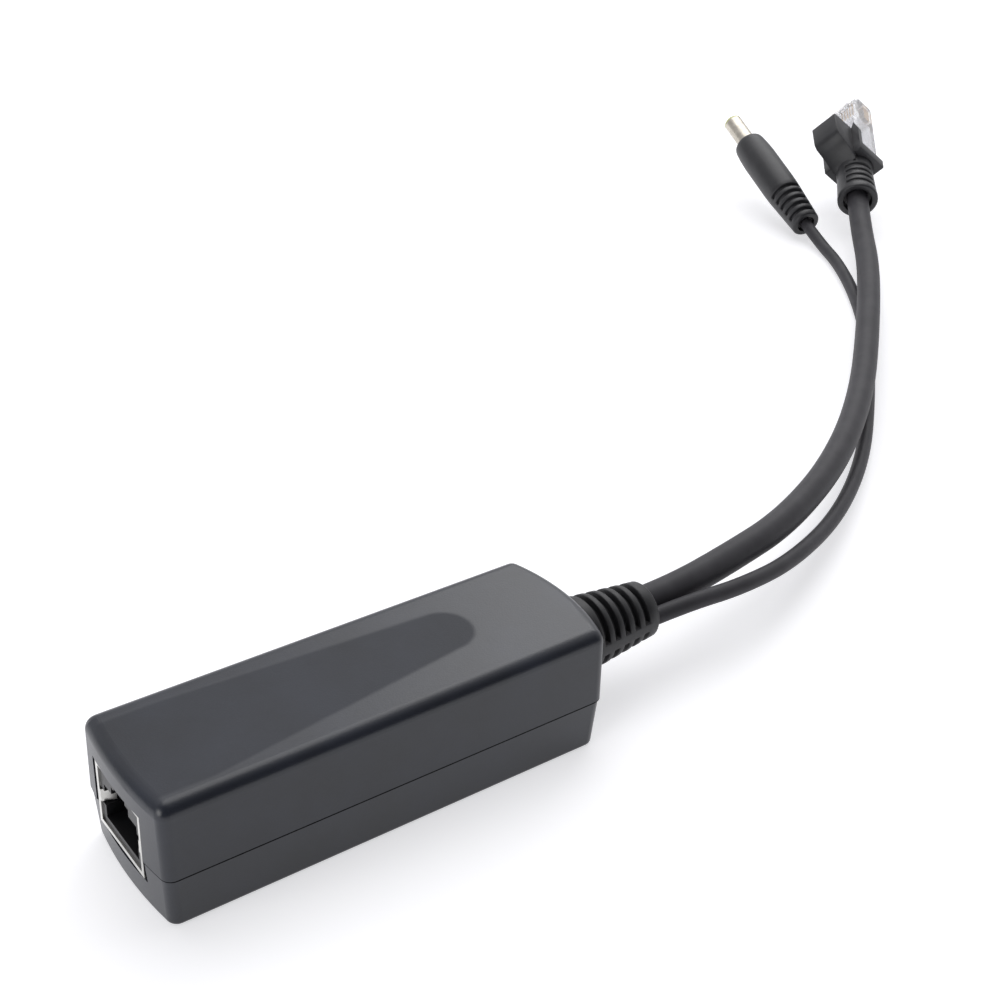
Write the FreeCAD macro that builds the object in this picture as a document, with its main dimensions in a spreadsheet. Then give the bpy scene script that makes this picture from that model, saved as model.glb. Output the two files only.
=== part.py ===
import FreeCAD, Part
import math
import os
import re

import Sketcher

# In-line splitter that takes network and power from one jack and gives them out again on two
# short cords: a network cord with an eight-way modular plug and a power cord with a barrel plug.
# Origin: centre of the housing's bottom face. +X runs towards the cords, +Z is up. Millimetres.

doc = FreeCAD.newDocument("splitter")
V = FreeCAD.Vector

# Driving dimensions
SIZES = [
    # housing
    ("wall", 1.8), ("split_height", 10.45), ("jack_bow", 1.3), ("end_bow", 2.8), ("corner_radius", 2.0),
    ("top_edge", 2.4), ("bottom_edge", 1.0), ("upper_draft", 2.5), ("lower_draft", 3.2),
    ("end_draft", 3.9), ("shell_overhang", 0.25), ("seam_gap", 0.2), ("tongue_thick", 0.8),
    ("tongue_rise", 1.0), ("fit_gap", 0.12), ("window_gap", 0.55), ("line_offset", 0.8),
    ("head_room", 3.7),
    # board and its seats
    ("board_thick", 1.6), ("board_gap", 0.4), ("edge_room", 0.35), ("part_gap", 0.62),
    ("wire_room", 13.08), ("post_height", 3.0), ("post_diameter", 4.0), ("peg_diameter", 1.8),
    ("peg_rise", 0.8), ("post_edge", 2.6), ("clamp_diameter", 2.4), ("clamp_edge", 1.5),
    ("clamp_inset", 7.1),
    # network jack
    ("jack_recess", 0.65), ("socket_width", 11.9), ("socket_height", 6.9), ("socket_sill", 2.1),
    ("socket_depth", 12.6), ("socket_side", 2.15), ("socket_roof", 1.2), ("socket_back", 3.1),
    ("latch_slot", 6.3), ("latch_slot_rise", 1.5), ("latch_neck", 4.0),
    ("latch_neck_rise", 1.3), ("shield_sheet", 0.3), ("shield_rim", 0.8),
    ("finger_reach", 1.1), ("finger_length", 2.4), ("finger_height", 2.5),
    ("finger_rise", 4.8), ("contact_wire", 0.45), ("contact_pitch", 1.02),
    ("contact_lift", 2.0), ("contact_room", 1.1), ("comb_depth", 0.9), ("comb_front", 3.8),
    ("tab_inset", 4.0), ("tab_width", 1.4), ("tab_length", 1.0),
    # strain relief
    ("relief_rise", 0.1), ("relief_length", 19.0), ("relief_root", 14.8),
    ("relief_tip", 10.9), ("relief_collar", 4.6), ("collar_draft", 0.3),
    ("relief_neck", 12.4), ("flange_lip", 2.0), ("flange_thick", 1.8), ("rib_start", 4.6),
    ("rib_groove", 1.3), ("rib_pitch", 2.6), ("rib_depth", 1.5), ("rib_bridge", 19.0),
    ("relief_edge", 0.35),
    # cords, where they leave the strain relief
    ("net_cord", 6.2), ("power_cord", 3.4), ("net_exit", 1.55), ("power_exit", 3.35),
    ("exit_run", 9.0),
    # modular plug and its boot, placed by the boot's tail and measured along the plug
    ("plug_x", 253.2), ("plug_y", 131.3), ("plug_z", 10.5), ("plug_yaw", 51.2),
    ("plug_pitch", 15.0), ("plug_roll", 49.2), ("boot_tail", 15.3), ("boot_width", 14.0),
    ("boot_thick", 11.0), ("boot_back", 3.4), ("boot_flap", 14.1), ("hood_crown", 0.6),
    ("tail_diameter", 11.9), ("tail_waist", 11.0), ("tail_taper", 8.8), ("tail_hollow", 8.4),
    ("tail_hollow_depth", 2.4), ("tail_groove", 1.1), ("tail_groove_start", 2.7),
    ("tail_groove_pitch", 2.56), ("tail_groove_depth", 0.7), ("hood_width", 8.9),
    ("hood_rise", 7.8), ("hood_length", 12.1), ("hood_ramp", 3.6), ("hood_wall", 1.2),
    ("plug_length", 26.3), ("plug_width", 11.7), ("plug_thick", 8.0), ("plug_nose", 6.6),
    ("nose_step", 2.2), ("nose_edge", 0.7), ("plug_wall", 1.2), ("jacket_room", 16.0),
    ("latch_width", 3.6), ("latch_rise", 5.0), ("latch_length", 15.5),
    ("latch_shoulder", 6.0), ("latch_root", 1.2), ("latch_hinge", 1.4),
    ("latch_sink", 1.5), ("latch_knee", 7.0), ("latch_knee_rise", 2.6),
    ("latch_thick", 1.0), ("blade_pitch", 1.02), ("blade_thick", 0.36),
    ("blade_length", 6.1), ("blade_height", 2.6), ("blade_inset", 0.3),
    ("blade_rise", 0.5), ("blade_gap", 0.05), ("net_run", 13.3),
    # barrel plug, placed by its tail and measured along it
    ("dc_x", 237.9), ("dc_y", 136.2), ("dc_z", 4.6), ("dc_yaw", 77.1), ("dc_pitch", 17.0),
    ("dc_length", 39.0), ("dc_diameter", 10.4), ("dc_swell", 16.4), ("dc_shoulder", 31.0),
    ("dc_tail", 8.4), ("dc_front", 9.4), ("dc_nose_edge", 1.1), ("dc_hollow", 5.0),
    ("dc_hollow_depth", 1.6), ("dc_groove", 1.2), ("dc_groove_start", 1.8),
    ("dc_groove_pitch", 2.5), ("dc_groove_depth", 1.0), ("power_run", 9.5),
    ("barrel_diameter", 5.5), ("barrel_length", 11.5), ("barrel_wall", 0.35),
    ("liner_tip", 0.8), ("centre_bore", 2.1), ("socket_wall", 0.45),
    # moulded packages and their leads
    ("magnetics_length", 12.7), ("magnetics_width", 9.4), ("magnetics_height", 6.0),
    ("bridge_length", 4.7), ("bridge_width", 4.0), ("bridge_height", 2.6),
    ("controller_length", 4.9), ("controller_width", 3.9), ("controller_height", 1.6),
    ("transistor_length", 6.6), ("transistor_width", 6.0), ("transistor_height", 2.3),
    ("coupler_length", 4.1), ("coupler_width", 4.4), ("coupler_height", 2.2),
    ("diode_length", 7.0), ("diode_width", 5.8), ("diode_height", 2.4),
    ("package_lift", 0.2), ("lead_reach", 1.3), ("lead_foot", 0.6), ("lead_width", 0.4),
    ("lead_thick", 0.2),
    # cans, coil, transformer and chip parts
    ("can_diameter", 8.0), ("can_height", 11.5), ("can_edge", 0.5),
    ("inductor_diameter", 7.0), ("inductor_height", 6.0), ("inductor_waist", 5.8),
    ("inductor_rim", 1.2), ("core_length", 15.0), ("core_width", 15.0), ("core_thick", 4.7),
    ("core_limb", 2.0), ("centre_limb", 5.2), ("core_rise", 5.25), ("bobbin_wall", 0.7),
    ("bobbin_height", 8.5), ("winding_height", 7.8), ("rail_reach", 1.1), ("rail_low", 0.5),
    ("rail_height", 2.2), ("rail_inset", 0.5), ("pin_side", 0.6), ("pin_pitch", 2.5),
    ("chip_length", 2.0), ("chip_width", 1.25), ("chip_height", 0.6),
    # wires from the cords to the board
    ("net_wire", 0.9), ("power_wire", 1.3), ("wire_pitch", 1.3), ("wire_spread", 1.15),
    ("wire_layer", 0.6), ("wire_knee", 4.0), ("knee_layer", 0.4), ("power_gap", 0.25),
    ("wire_lead", 4.2), ("pad_edge", 1.2),
]

# What follows from them. The jack grows from its socket, the board from the parts that stand on
# it, and the housing from the board. Distances that end in _x count from the jack's face.
LAYOUT = [
    ("jack_width", "socket_width + 2 * socket_side"),
    ("jack_height",
     "socket_sill + socket_height + latch_slot_rise + latch_neck_rise + socket_roof"),
    ("jack_depth", "shield_sheet + socket_depth + socket_back"),
    ("board_low", "wall + post_height"),
    ("board_top", "board_low + board_thick"),
    ("jack_top", "board_top + jack_height"),
    ("roof", "jack_top + head_room"),
    ("body_height", "roof + wall"),
    ("relief_height", "board_top + jack_height / 2 + relief_rise"),
    ("relief_flange", "relief_neck + 2 * flange_lip"),
    ("tray_inset", "shell_overhang + wall + (split_height - wall) * tan(lower_draft)"),
    ("cover_inset", "wall + (roof - split_height) * tan(upper_draft)"),
    ("board_half",
     "edge_room + (part_gap + max(core_width + max(inductor_diameter; coupler_width + 2 *"
     " lead_reach); magnetics_width + bridge_width + 4 * lead_reach; can_diameter +"
     " transistor_width + controller_width + 2 * lead_reach + part_gap)) / 2"),
    ("body_width", "2 * (board_half + board_gap + tray_inset)"),
    ("bow_radius", "(body_width^2 / 4 + end_bow^2) / (2 * end_bow)"),
    ("jack_bow_radius", "(body_width^2 / 4 + jack_bow^2) / (2 * jack_bow)"),
    ("flange_edge", "relief_flange / 2 + line_offset"),
    ("flange_sag", "bow_radius - sqrt(bow_radius^2 - flange_edge^2)"),
    ("flange_lean",
     "max((split_height - wall) * tan(end_draft) + shell_overhang; cover_inset - wall)"),
    ("flange_back", "wall + fit_gap + flange_sag + flange_lean"),
    ("board_start_x",
     "jack_bow + tray_inset + (split_height - wall) * tan(end_draft) + board_gap - jack_recess"),
    ("jack_back_x", "jack_depth + shield_sheet"),
    ("magnetics_x", "jack_back_x + chip_width + 2 * part_gap"),
    ("supply_x", "magnetics_x + max(magnetics_length; 2 * bridge_length + part_gap)"),
    ("core_x",
     "supply_x + max(2 * chip_width + controller_length + 4 * part_gap; can_diameter + 2 *"
     " part_gap; transistor_length + 2 * part_gap)"),
    ("output_x",
     "core_x + max(core_length + 2 * rail_reach; coupler_length + chip_width +"
     " inductor_diameter + 4 * part_gap)"),
    ("board_end_x",
     "output_x + 2 * part_gap + max(can_diameter; diode_length) + power_wire / 2 + pad_edge"),
    ("body_length", "jack_recess + board_end_x + wire_room + flange_thick + flange_back"),
    ("near_end", "-body_length / 2"),
    ("far_end", "body_length / 2"),
    ("face", "near_end + jack_recess"),
]

sheet = doc.addObject("Spreadsheet::Sheet", "Sizes")
for row, (alias, number) in enumerate(SIZES, start=1):
    sheet.set("A%d" % row, alias)
    sheet.set("B%d" % row, str(number))
    sheet.setAlias("B%d" % row, alias)
layout = doc.addObject("Spreadsheet::Sheet", "Layout")
NAMES = {alias: "Sizes." for alias, number in SIZES}
NAMES.update({alias: "Layout." for alias, formula in LAYOUT})


def ref(text):
    """An expression that names the sheets' cells, from one with their plain names."""
    return re.sub(r"[a-z][a-z_]*", lambda m: NAMES.get(m[0], "") + m[0], str(text))


for row, (alias, formula) in enumerate(LAYOUT, start=1):
    layout.set("A%d" % row, alias)
    layout.set("B%d" % row, "=" + ref(formula))
    layout.setAlias("B%d" % row, alias)
doc.recompute()


def val(text):
    """The present value of such an expression."""
    found = sheet.evalExpression(ref(text))
    return float(getattr(found, "Value", found))


# Sketches and features
def body(name):
    made = doc.addObject("PartDesign::Body", name)
    made.Label = name
    return made


def sketch(owner, name, role, offset="0"):
    made = owner.newObject("Sketcher::SketchObject", name)
    plane = [item for item in owner.Origin.OriginFeatures if item.Role == role][0]
    made.AttachmentSupport = [(plane, "")]
    made.MapMode = "FlatFace"
    made.setExpression("AttachmentOffset.Base.z", ref(offset))
    return made


def bind(sk, kind, *parts):
    """A constraint whose last part is an expression on the sheet."""
    index = sk.addConstraint(Sketcher.Constraint(kind, *parts[:-1], val(parts[-1])))
    sk.setExpression("Constraints[%d]" % index, ref(parts[-1]))


def polygon(sk, points):
    """A closed outline through the points, each held by two expressions."""
    first = sk.GeometryCount
    spots = [V(val(x), val(y), 0) for x, y in points]
    for i, spot in enumerate(spots):
        sk.addGeometry(Part.LineSegment(spot, spots[(i + 1) % len(spots)]))
    for i, (x, y) in enumerate(points):
        after = first + (i + 1) % len(points)
        sk.addConstraint(Sketcher.Constraint("Coincident", first + i, 2, after, 1))
        bind(sk, "DistanceX", -1, 1, first + i, 1, x)
        bind(sk, "DistanceY", -1, 1, first + i, 1, y)


def rectangle(sk, x0, x1, y0, y1):
    polygon(sk, [(x0, y0), (x1, y0), (x1, y1), (x0, y1)])


def circle(sk, x, y, diameter):
    ring = sk.addGeometry(Part.Circle(V(val(x), val(y), 0), V(0, 0, 1), val(diameter) / 2))
    bind(sk, "Diameter", ring, diameter)
    bind(sk, "DistanceX", -1, 1, ring, 3, x)
    bind(sk, "DistanceY", -1, 1, ring, 3, y)


def housing_outline(sk, inset):
    """The housing's plan, drawn in by an inset: two straight sides and two bowed ends."""
    half = "(body_width / 2 - (%s))" % inset
    radii = ["(bow_radius - (%s))" % inset, "(jack_bow_radius - (%s))" % inset]
    centres = ["(far_end - bow_radius)", "(near_end + jack_bow_radius)"]
    y = val(half)
    (far_r, near_r), (far_c, near_c) = map(val, radii), map(val, centres)
    far_lean, near_lean = math.asin(y / far_r), math.asin(y / near_r)
    far_x = far_c + far_r * math.cos(far_lean)
    near_x = near_c - near_r * math.cos(near_lean)
    first = sk.GeometryCount
    sk.addGeometry(Part.LineSegment(V(near_x, -y, 0), V(far_x, -y, 0)))
    sk.addGeometry(Part.ArcOfCircle(Part.Circle(V(far_c, 0, 0), V(0, 0, 1), far_r),
                                    -far_lean, far_lean))
    sk.addGeometry(Part.LineSegment(V(far_x, y, 0), V(near_x, y, 0)))
    sk.addGeometry(Part.ArcOfCircle(Part.Circle(V(near_c, 0, 0), V(0, 0, 1), near_r),
                                    math.pi - near_lean, math.pi + near_lean))
    near, right, back, left = range(first, first + 4)
    for a, b in ((near, right), (right, back), (back, left), (left, near)):
        sk.addConstraint(Sketcher.Constraint("Coincident", a, 2, b, 1))
    for side, place in ((near, "-" + half), (back, half)):
        sk.addConstraint(Sketcher.Constraint("Horizontal", side))
        bind(sk, "DistanceY", -1, 1, side, 1, place)
    for end, place, radius in zip((right, left), centres, radii):
        sk.addConstraint(Sketcher.Constraint("PointOnObject", end, 3, -1))
        bind(sk, "DistanceX", -1, 1, end, 3, place)
        bind(sk, "Radius", end, radius)


def feature(owner, kind, sk, length, back=False):
    """A pad or a pocket, checked against the solid's volume before it."""
    doc.recompute()
    before = owner.Shape.Volume if owner.Tip else 0.0
    made = owner.newObject("PartDesign::" + kind, sk.Name + "_" + kind.lower())
    made.Profile = sk
    made.setExpression("Length", ref(length))
    made.Reversed = back
    doc.recompute()
    grown = made.Shape.Volume > before
    if grown != (kind == "Pad"):
        raise RuntimeError(made.Name + " points the wrong way")
    return made


def pad(owner, sk, length, back=False):
    return feature(owner, "Pad", sk, length, back)


def pocket(owner, sk, length, back=False):
    return feature(owner, "Pocket", sk, length, back)


def fillet(owner, base, radius, picked, kind="Fillet"):
    """Rounds or bevels the edges of the base that the test picks."""
    names = ["Edge%d" % i for i, edge in enumerate(base.Shape.Edges, start=1) if picked(edge)]
    made = owner.newObject("PartDesign::" + kind, base.Name + "_" + kind.lower())
    made.Base = (base, names)
    made.setExpression("Radius" if kind == "Fillet" else "Size", ref(radius))
    doc.recompute()
    return made


def turn(owner, kind, sk, angle="360", middle=False, axis="H_Axis"):
    """A revolution or a groove about one of the sketch's own axes."""
    made = owner.newObject("PartDesign::" + kind, sk.Name + "_" + kind.lower())
    made.Profile = sk
    made.ReferenceAxis = (sk, [axis])
    made.setExpression("Angle", ref(angle))
    made.Midplane = middle
    doc.recompute()
    return made


def place(thing, x, y, z, yaw="0", pitch="0", roll="0"):
    """Puts a piece at a point, turned by yaw, nose-up pitch and roll about its own +X."""
    spot = "vector(%s; %s; %s)" % (x, y, z)
    turned = "rotation(%s; -(%s); %s)" % (yaw, pitch, roll)
    thing.setExpression("Placement", ref("placement(%s; %s)" % (spot, turned)))


# Primitives and shapes
def block(name, x0, x1, y0, y1, z0, z1):
    made = doc.addObject("Part::Box", name)
    for side, low, high in (("Length", x0, x1), ("Width", y0, y1), ("Height", z0, z1)):
        made.setExpression(side, ref("(%s) - (%s)" % (high, low)))
    for axis, low in (("x", x0), ("y", y0), ("z", z0)):
        made.setExpression("Placement.Base." + axis, ref(low))
    return made


def can(name, x, y, z, diameter, height):
    made = doc.addObject("Part::Cylinder", name)
    made.setExpression("Radius", ref("(%s) / 2" % diameter))
    made.setExpression("Height", ref(height))
    for axis, low in (("x", x), ("y", y), ("z", z)):
        made.setExpression("Placement.Base." + axis, ref(low))
    return made


def join(name, kind, members):
    made = doc.addObject("Part::" + kind, name)
    if kind in ("MultiFuse", "MultiCommon"):
        made.Shapes = members
    elif kind == "Compound":
        made.Links = members
    else:
        made.Base, made.Tool = members
    made.Label = name
    return made


def solid(name, shapes):
    """A node of one or more solids whose form is worked out here."""
    made = doc.addObject("Part::Feature", name)
    made.Shape = shapes[0] if len(shapes) == 1 else Part.makeCompound(shapes)
    made.Label = name
    return made


def strip(points, width, across):
    """A flat profile in x and z, given as points, widened evenly about y = across."""
    ring = [V(x, across - width / 2, z) for x, z in points]
    return Part.Face(Part.makePolygon(ring + ring[:1])).extrude(V(0, width, 0))


def route(points, diameter):
    """A round tube along straight runs joined by tangent arcs, and the arcs' radii."""
    spots = [V(*spot) for spot in points]
    edges, radii, start = [], [], spots[0]
    for a, b, c in zip(spots, spots[1:], spots[2:]):
        into, out = (b - a).normalize(), (c - b).normalize()
        half = into.getAngle(out) / 2
        reach = 0.45 * min((b - a).Length, (c - b).Length)
        radii.append(reach / math.tan(half))
        first, last = b - into * reach, b + out * reach
        middle = b + (out - into).normalize() * (radii[-1] / math.cos(half) - radii[-1])
        edges.append(Part.LineSegment(start, first).toShape())
        edges.append(Part.Arc(first, middle, last).toShape())
        start = last
    edges.append(Part.LineSegment(start, spots[-1]).toShape())
    path = Part.Wire(edges)
    ring = Part.Wire([Part.Circle(spots[0], spots[1] - spots[0], diameter / 2).toShape()])
    return path.makePipeShell([ring], True, True), radii, path.Length


# Housing: both shells share the plan, the drafts, the jack's window and the cords' neck
def draft_sides(owner, name, low, high, narrow, angle, inset):
    """Leans both long sides inwards from their widest level to the narrow one."""
    sk = sketch(owner, name, "YZ_Plane", "far_end + 1")
    wide = high if narrow == low else low
    side = "(body_width / 2 - (%s))" % inset
    lean = "((%s) - (%s)) * tan(%s)" % (high, low, angle)
    for sign in ("", "-"):
        polygon(sk, [(sign + side, wide), (sign + "(%s - %s)" % (side, lean), narrow),
                     (sign + "(%s + 1)" % side, narrow), (sign + "(%s + 1)" % side, wide)])
    return pocket(owner, sk, "body_length + 2")


def draft_ends(owner, name, low, high, angle, inset):
    """Leans both bowed ends inwards towards the bottom, as cones about each bow's own axis."""
    for word, sign, bow in (("near", "-", "jack_bow_radius"), ("far", "", "bow_radius")):
        sk = sketch(owner, name + "_" + word, "XZ_Plane")
        sk.setExpression("AttachmentOffset.Base.x", ref(sign + "(far_end - %s)" % bow))
        rim = "(%s - (%s))" % (bow, inset)
        lean = "((%s) - (%s)) * tan(%s)" % (high, low, angle)
        polygon(sk, [(sign + rim, high), (sign + "(%s - %s)" % (rim, lean), low),
                     (sign + "(%s + 1)" % rim, low), (sign + "(%s + 1)" % rim, high)])
        made = turn(owner, "Groove", sk, "3 * asin(body_width / (2 * %s))" % bow, middle=True,
                    axis="V_Axis")
    return made


def jack_window(owner, name):
    """The opening round the jack, through the bowed wall at the jack's end."""
    sk = sketch(owner, name, "YZ_Plane", "near_end - 1")
    rectangle(sk, "line_offset - jack_width / 2 - window_gap",
              "line_offset + jack_width / 2 + window_gap",
              "board_top - window_gap", "jack_top + window_gap / 2")
    pocket(owner, sk, "1 + wall + jack_bow + flange_lean + window_gap", back=True)


def cord_neck(owner, name):
    """The round opening for the strain relief's neck, through the wall at the cords' end."""
    sk = sketch(owner, name, "YZ_Plane", "far_end + 1")
    circle(sk, "line_offset", "relief_height", "relief_neck + 2 * fit_gap")
    pocket(owner, sk, "1 + flange_back")


def is_upright(edge):
    box = edge.BoundBox
    return box.ZLength > 3 and box.XLength < 2 and box.YLength < 2


POST_Y = "(board_half - post_edge)"
POSTS = [(x, sign + POST_Y) for x in ("(face + board_start_x + post_edge)",
                                      "(face + board_end_x - post_edge)") for sign in ("-", "")]

# Bottom shell: open tray with a tongue round its rim, posts and pegs for the board
RIM = "split_height - seam_gap"
bottom_shell = body("bottom_shell")
sk = sketch(bottom_shell, "tray_outline", "XY_Plane")
housing_outline(sk, "shell_overhang")
pad(bottom_shell, sk, RIM)
draft_sides(bottom_shell, "tray_sides", "0", RIM, "0", "lower_draft", "shell_overhang")
step = draft_ends(bottom_shell, "tray_ends", "0", RIM, "end_draft", "shell_overhang")
step = fillet(bottom_shell, step, "corner_radius", is_upright)
step = fillet(bottom_shell, step, "bottom_edge", lambda e: e.BoundBox.ZMax < 0.01)

sk = sketch(bottom_shell, "tray_inside", "XY_Plane", RIM)
housing_outline(sk, "tray_inset")
pocket(bottom_shell, sk, RIM + " - wall")
sk = sketch(bottom_shell, "tongue", "XY_Plane", RIM)
housing_outline(sk, "shell_overhang + wall - tongue_thick")
housing_outline(sk, "shell_overhang + wall")
pad(bottom_shell, sk, "seam_gap + tongue_rise")

sk = sketch(bottom_shell, "posts", "XY_Plane", "wall")
for x, y in POSTS:
    circle(sk, x, y, "post_diameter")
pad(bottom_shell, sk, "post_height")
sk = sketch(bottom_shell, "pegs", "XY_Plane", "board_low")
for x, y in POSTS[2:]:
    circle(sk, x, y, "peg_diameter")
pad(bottom_shell, sk, "board_thick + peg_rise")
jack_window(bottom_shell, "tray_window")
cord_neck(bottom_shell, "tray_neck")

# Top shell: deep cover with a rebate for the tongue and two posts that hold the board down
top_shell = body("top_shell")
sk = sketch(top_shell, "cover_outline", "XY_Plane", "split_height")
housing_outline(sk, "0")
pad(top_shell, sk, "body_height - split_height")
step = draft_sides(top_shell, "cover_sides", "split_height", "body_height", "body_height",
                   "upper_draft", "0")
step = fillet(top_shell, step, "corner_radius", is_upright)
top = val("body_height") - 0.01
step = fillet(top_shell, step, "top_edge", lambda e: e.BoundBox.ZMin > top)

sk = sketch(top_shell, "cover_inside", "XY_Plane", "split_height")
housing_outline(sk, "cover_inset")
pocket(top_shell, sk, "roof - split_height", back=True)
sk = sketch(top_shell, "rebate", "XY_Plane", "split_height")
housing_outline(sk, "shell_overhang + wall - tongue_thick - fit_gap")
pocket(top_shell, sk, "tongue_rise + fit_gap", back=True)

sk = sketch(top_shell, "clamps", "XY_Plane", "board_top + fit_gap")
for sign in ("-", ""):
    circle(sk, "face + board_end_x - clamp_inset", sign + "(board_half - clamp_edge)",
           "clamp_diameter")
pad(top_shell, sk, "roof - board_top - fit_gap + wall / 2")
jack_window(top_shell, "cover_window")
cord_neck(top_shell, "cover_neck")
sk = sketch(top_shell, "cover_neck_slot", "YZ_Plane", "far_end + 1")
rectangle(sk, "line_offset - relief_neck / 2 - fit_gap",
          "line_offset + relief_neck / 2 + fit_gap", "split_height - 1", "relief_height")
pocket(top_shell, sk, "1 + flange_back")

# Circuit board with peg holes and the slots for the jack's tabs
TAB_X = "(face + jack_depth - tab_inset)"
TAB_YS = ["(line_offset %s (jack_width - shield_sheet) / 2)" % sign for sign in "-+"]
circuit_board = body("circuit_board")
sk = sketch(circuit_board, "board_outline", "XY_Plane", "board_low")
rectangle(sk, "face + board_start_x", "face + board_end_x", "-board_half", "board_half")
for x, y in POSTS[2:]:
    circle(sk, x, y, "peg_diameter + 2 * fit_gap")
for y in TAB_YS:
    rectangle(sk, TAB_X + " - tab_width / 2 - fit_gap", TAB_X + " + tab_width / 2 + fit_gap",
              y + " - shield_sheet / 2 - fit_gap", y + " + shield_sheet / 2 + fit_gap")
pad(circuit_board, sk, "board_thick")

# Jack shield: folded can with a turned-in rim, two spring fingers and two board tabs
LEFT = "line_offset - jack_width / 2"
RIGHT = "line_offset + jack_width / 2"


def jack_frame(sk, inset):
    """The jack's front outline, drawn in by an inset."""
    rectangle(sk, "%s + %s" % (LEFT, inset), "%s - %s" % (RIGHT, inset),
              "board_top + " + inset, "jack_top - " + inset)


jack_shield = body("jack_shield")
for name, inner, depth in (("rim", "shield_rim", "shield_sheet"),
                           ("can_walls", "shield_sheet", "jack_depth")):
    sk = sketch(jack_shield, name, "YZ_Plane", "face")
    jack_frame(sk, "0")
    jack_frame(sk, inner)
    pad(jack_shield, sk, depth)
sk = sketch(jack_shield, "can_back", "YZ_Plane", "face + jack_depth")
jack_frame(sk, "0")
pad(jack_shield, sk, "shield_sheet")
sk = sketch(jack_shield, "fingers", "XY_Plane", "board_top + finger_rise")
for sign in "-+":
    edge = "line_offset %s (jack_width / 2 - shield_rim" % sign
    polygon(sk, [("face", edge + " + shield_sheet / 2)"), ("face", edge + " - shield_sheet)"),
                 ("face + finger_length", edge + " - finger_reach)"),
                 ("face + finger_length", edge + " - finger_reach + shield_sheet)"),
                 ("face + shield_sheet", edge + ")"),
                 ("face + shield_sheet", edge + " + shield_sheet / 2)")])
pad(jack_shield, sk, "finger_height")
sk = sketch(jack_shield, "tabs", "XY_Plane", "board_top + shield_sheet")
for y in TAB_YS:
    rectangle(sk, TAB_X + " - tab_width / 2", TAB_X + " + tab_width / 2",
              y + " - shield_sheet / 2", y + " + shield_sheet / 2")
pad(jack_shield, sk, "board_thick + shield_sheet + tab_length", back=True)

# Jack insert: moulded block with the plug socket, its latch slot and the contact comb
FRONT = "(face + shield_sheet)"
SILL = "(board_top + socket_sill)"
COMB_YS = ["(line_offset + %s * contact_pitch)" % (n - 3.5) for n in range(8)]
jack_insert = body("jack_insert")
sk = sketch(jack_insert, "insert_block", "YZ_Plane", FRONT)
jack_frame(sk, "(shield_sheet + fit_gap / 2)")
pad(jack_insert, sk, "jack_depth - shield_sheet - fit_gap / 2")
sk = sketch(jack_insert, "socket", "YZ_Plane", FRONT)
CEILING = SILL + " + socket_height"
SLOT_TOP = CEILING + " + latch_slot_rise"
NECK_TOP = SLOT_TOP + " + latch_neck_rise"
profile = [("socket_width", SILL), ("socket_width", CEILING), ("latch_slot", CEILING),
           ("latch_slot", SLOT_TOP), ("latch_neck", SLOT_TOP), ("latch_neck", NECK_TOP)]
polygon(sk, [("line_offset + %s / 2" % across, z) for across, z in profile]
        + [("line_offset - %s / 2" % across, z) for across, z in reversed(profile)])
pocket(jack_insert, sk, "socket_depth", back=True)
sk = sketch(jack_insert, "finger_recess", "YZ_Plane", FRONT)
rectangle(sk, LEFT + " + shield_rim / 2", RIGHT + " - shield_rim / 2",
          "board_top + finger_rise - 2 * fit_gap",
          "board_top + finger_rise + finger_height + 2 * fit_gap")
pocket(jack_insert, sk, "finger_length + fit_gap", back=True)
sk = sketch(jack_insert, "comb", "XY_Plane", SILL)
for y in COMB_YS:
    rectangle(sk, "face + comb_front", FRONT + " + socket_depth",
              y + " - contact_wire / 2 - fit_gap / 2", y + " + contact_wire / 2 + fit_gap / 2")
pocket(jack_insert, sk, "comb_depth")

# Contacts: eight sprung wires that rise from the comb towards the back of the socket
start, bed = val("face + comb_front + fit_gap"), val(SILL + " - comb_depth")
free, tip_z = val(FRONT + " + socket_depth - contact_room"), val(SILL + " + contact_lift")
thick = val("contact_wire")
contact = [(start, bed), (start + 3 * thick, bed), (free, tip_z), (free, tip_z + thick),
           (start + 2.2 * thick, bed + 1.1 * thick), (start, bed + thick)]
solid("jack_contacts", [strip(contact, thick, val(y)) for y in COMB_YS])

# Strain relief: soft moulding on both cords, clamped by its flange, ringed to bend
strain_relief = body("strain_relief")
sk = sketch(strain_relief, "relief_profile", "XZ_Plane")
polygon(sk, [("-flange_back - flange_thick", "0"),
             ("-flange_back - flange_thick", "relief_flange / 2"),
             ("-flange_back", "relief_flange / 2"), ("-flange_back", "relief_neck / 2"),
             ("fit_gap", "relief_neck / 2"), ("fit_gap", "relief_root / 2"),
             ("relief_collar", "relief_root / 2 - collar_draft"),
             ("relief_length", "relief_tip / 2"), ("relief_length", "0")])
step = turn(strain_relief, "Revolution", sk)
tip, inner_rim = val("relief_length") - 0.01, math.pi * val("net_cord") / 2
fillet(strain_relief, step, "relief_edge",
       lambda e: e.BoundBox.XMin > tip and e.Length > inner_rim, kind="Chamfer")
sk = sketch(strain_relief, "ring_grooves", "XZ_Plane")
SLOPE = "(relief_root / 2 - collar_draft - relief_tip / 2) / (relief_length - relief_collar)"
for n in range(5):
    x0 = "(rib_start + %d * rib_pitch)" % n
    bed = "(relief_root / 2 - collar_draft - rib_depth - %s * (%s - relief_collar))" % (SLOPE, x0)
    for sign in ("", "-"):
        rectangle(sk, x0, x0 + " + rib_groove", sign + bed, sign + "(relief_root / 2 + 1)")
turn(strain_relief, "Groove", sk, "180 - rib_bridge", middle=True)
place(strain_relief, "far_end", "line_offset", "relief_height")

# Cords: tubes along the routes that they lie in, from the strain relief to the plugs
def along(yaw, pitch, length):
    """The vector of a length along a piece's own +X."""
    turned = FreeCAD.Rotation(val(yaw), -val(pitch), 0)
    return turned.multVec(V(val(length), 0, 0))


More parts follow.
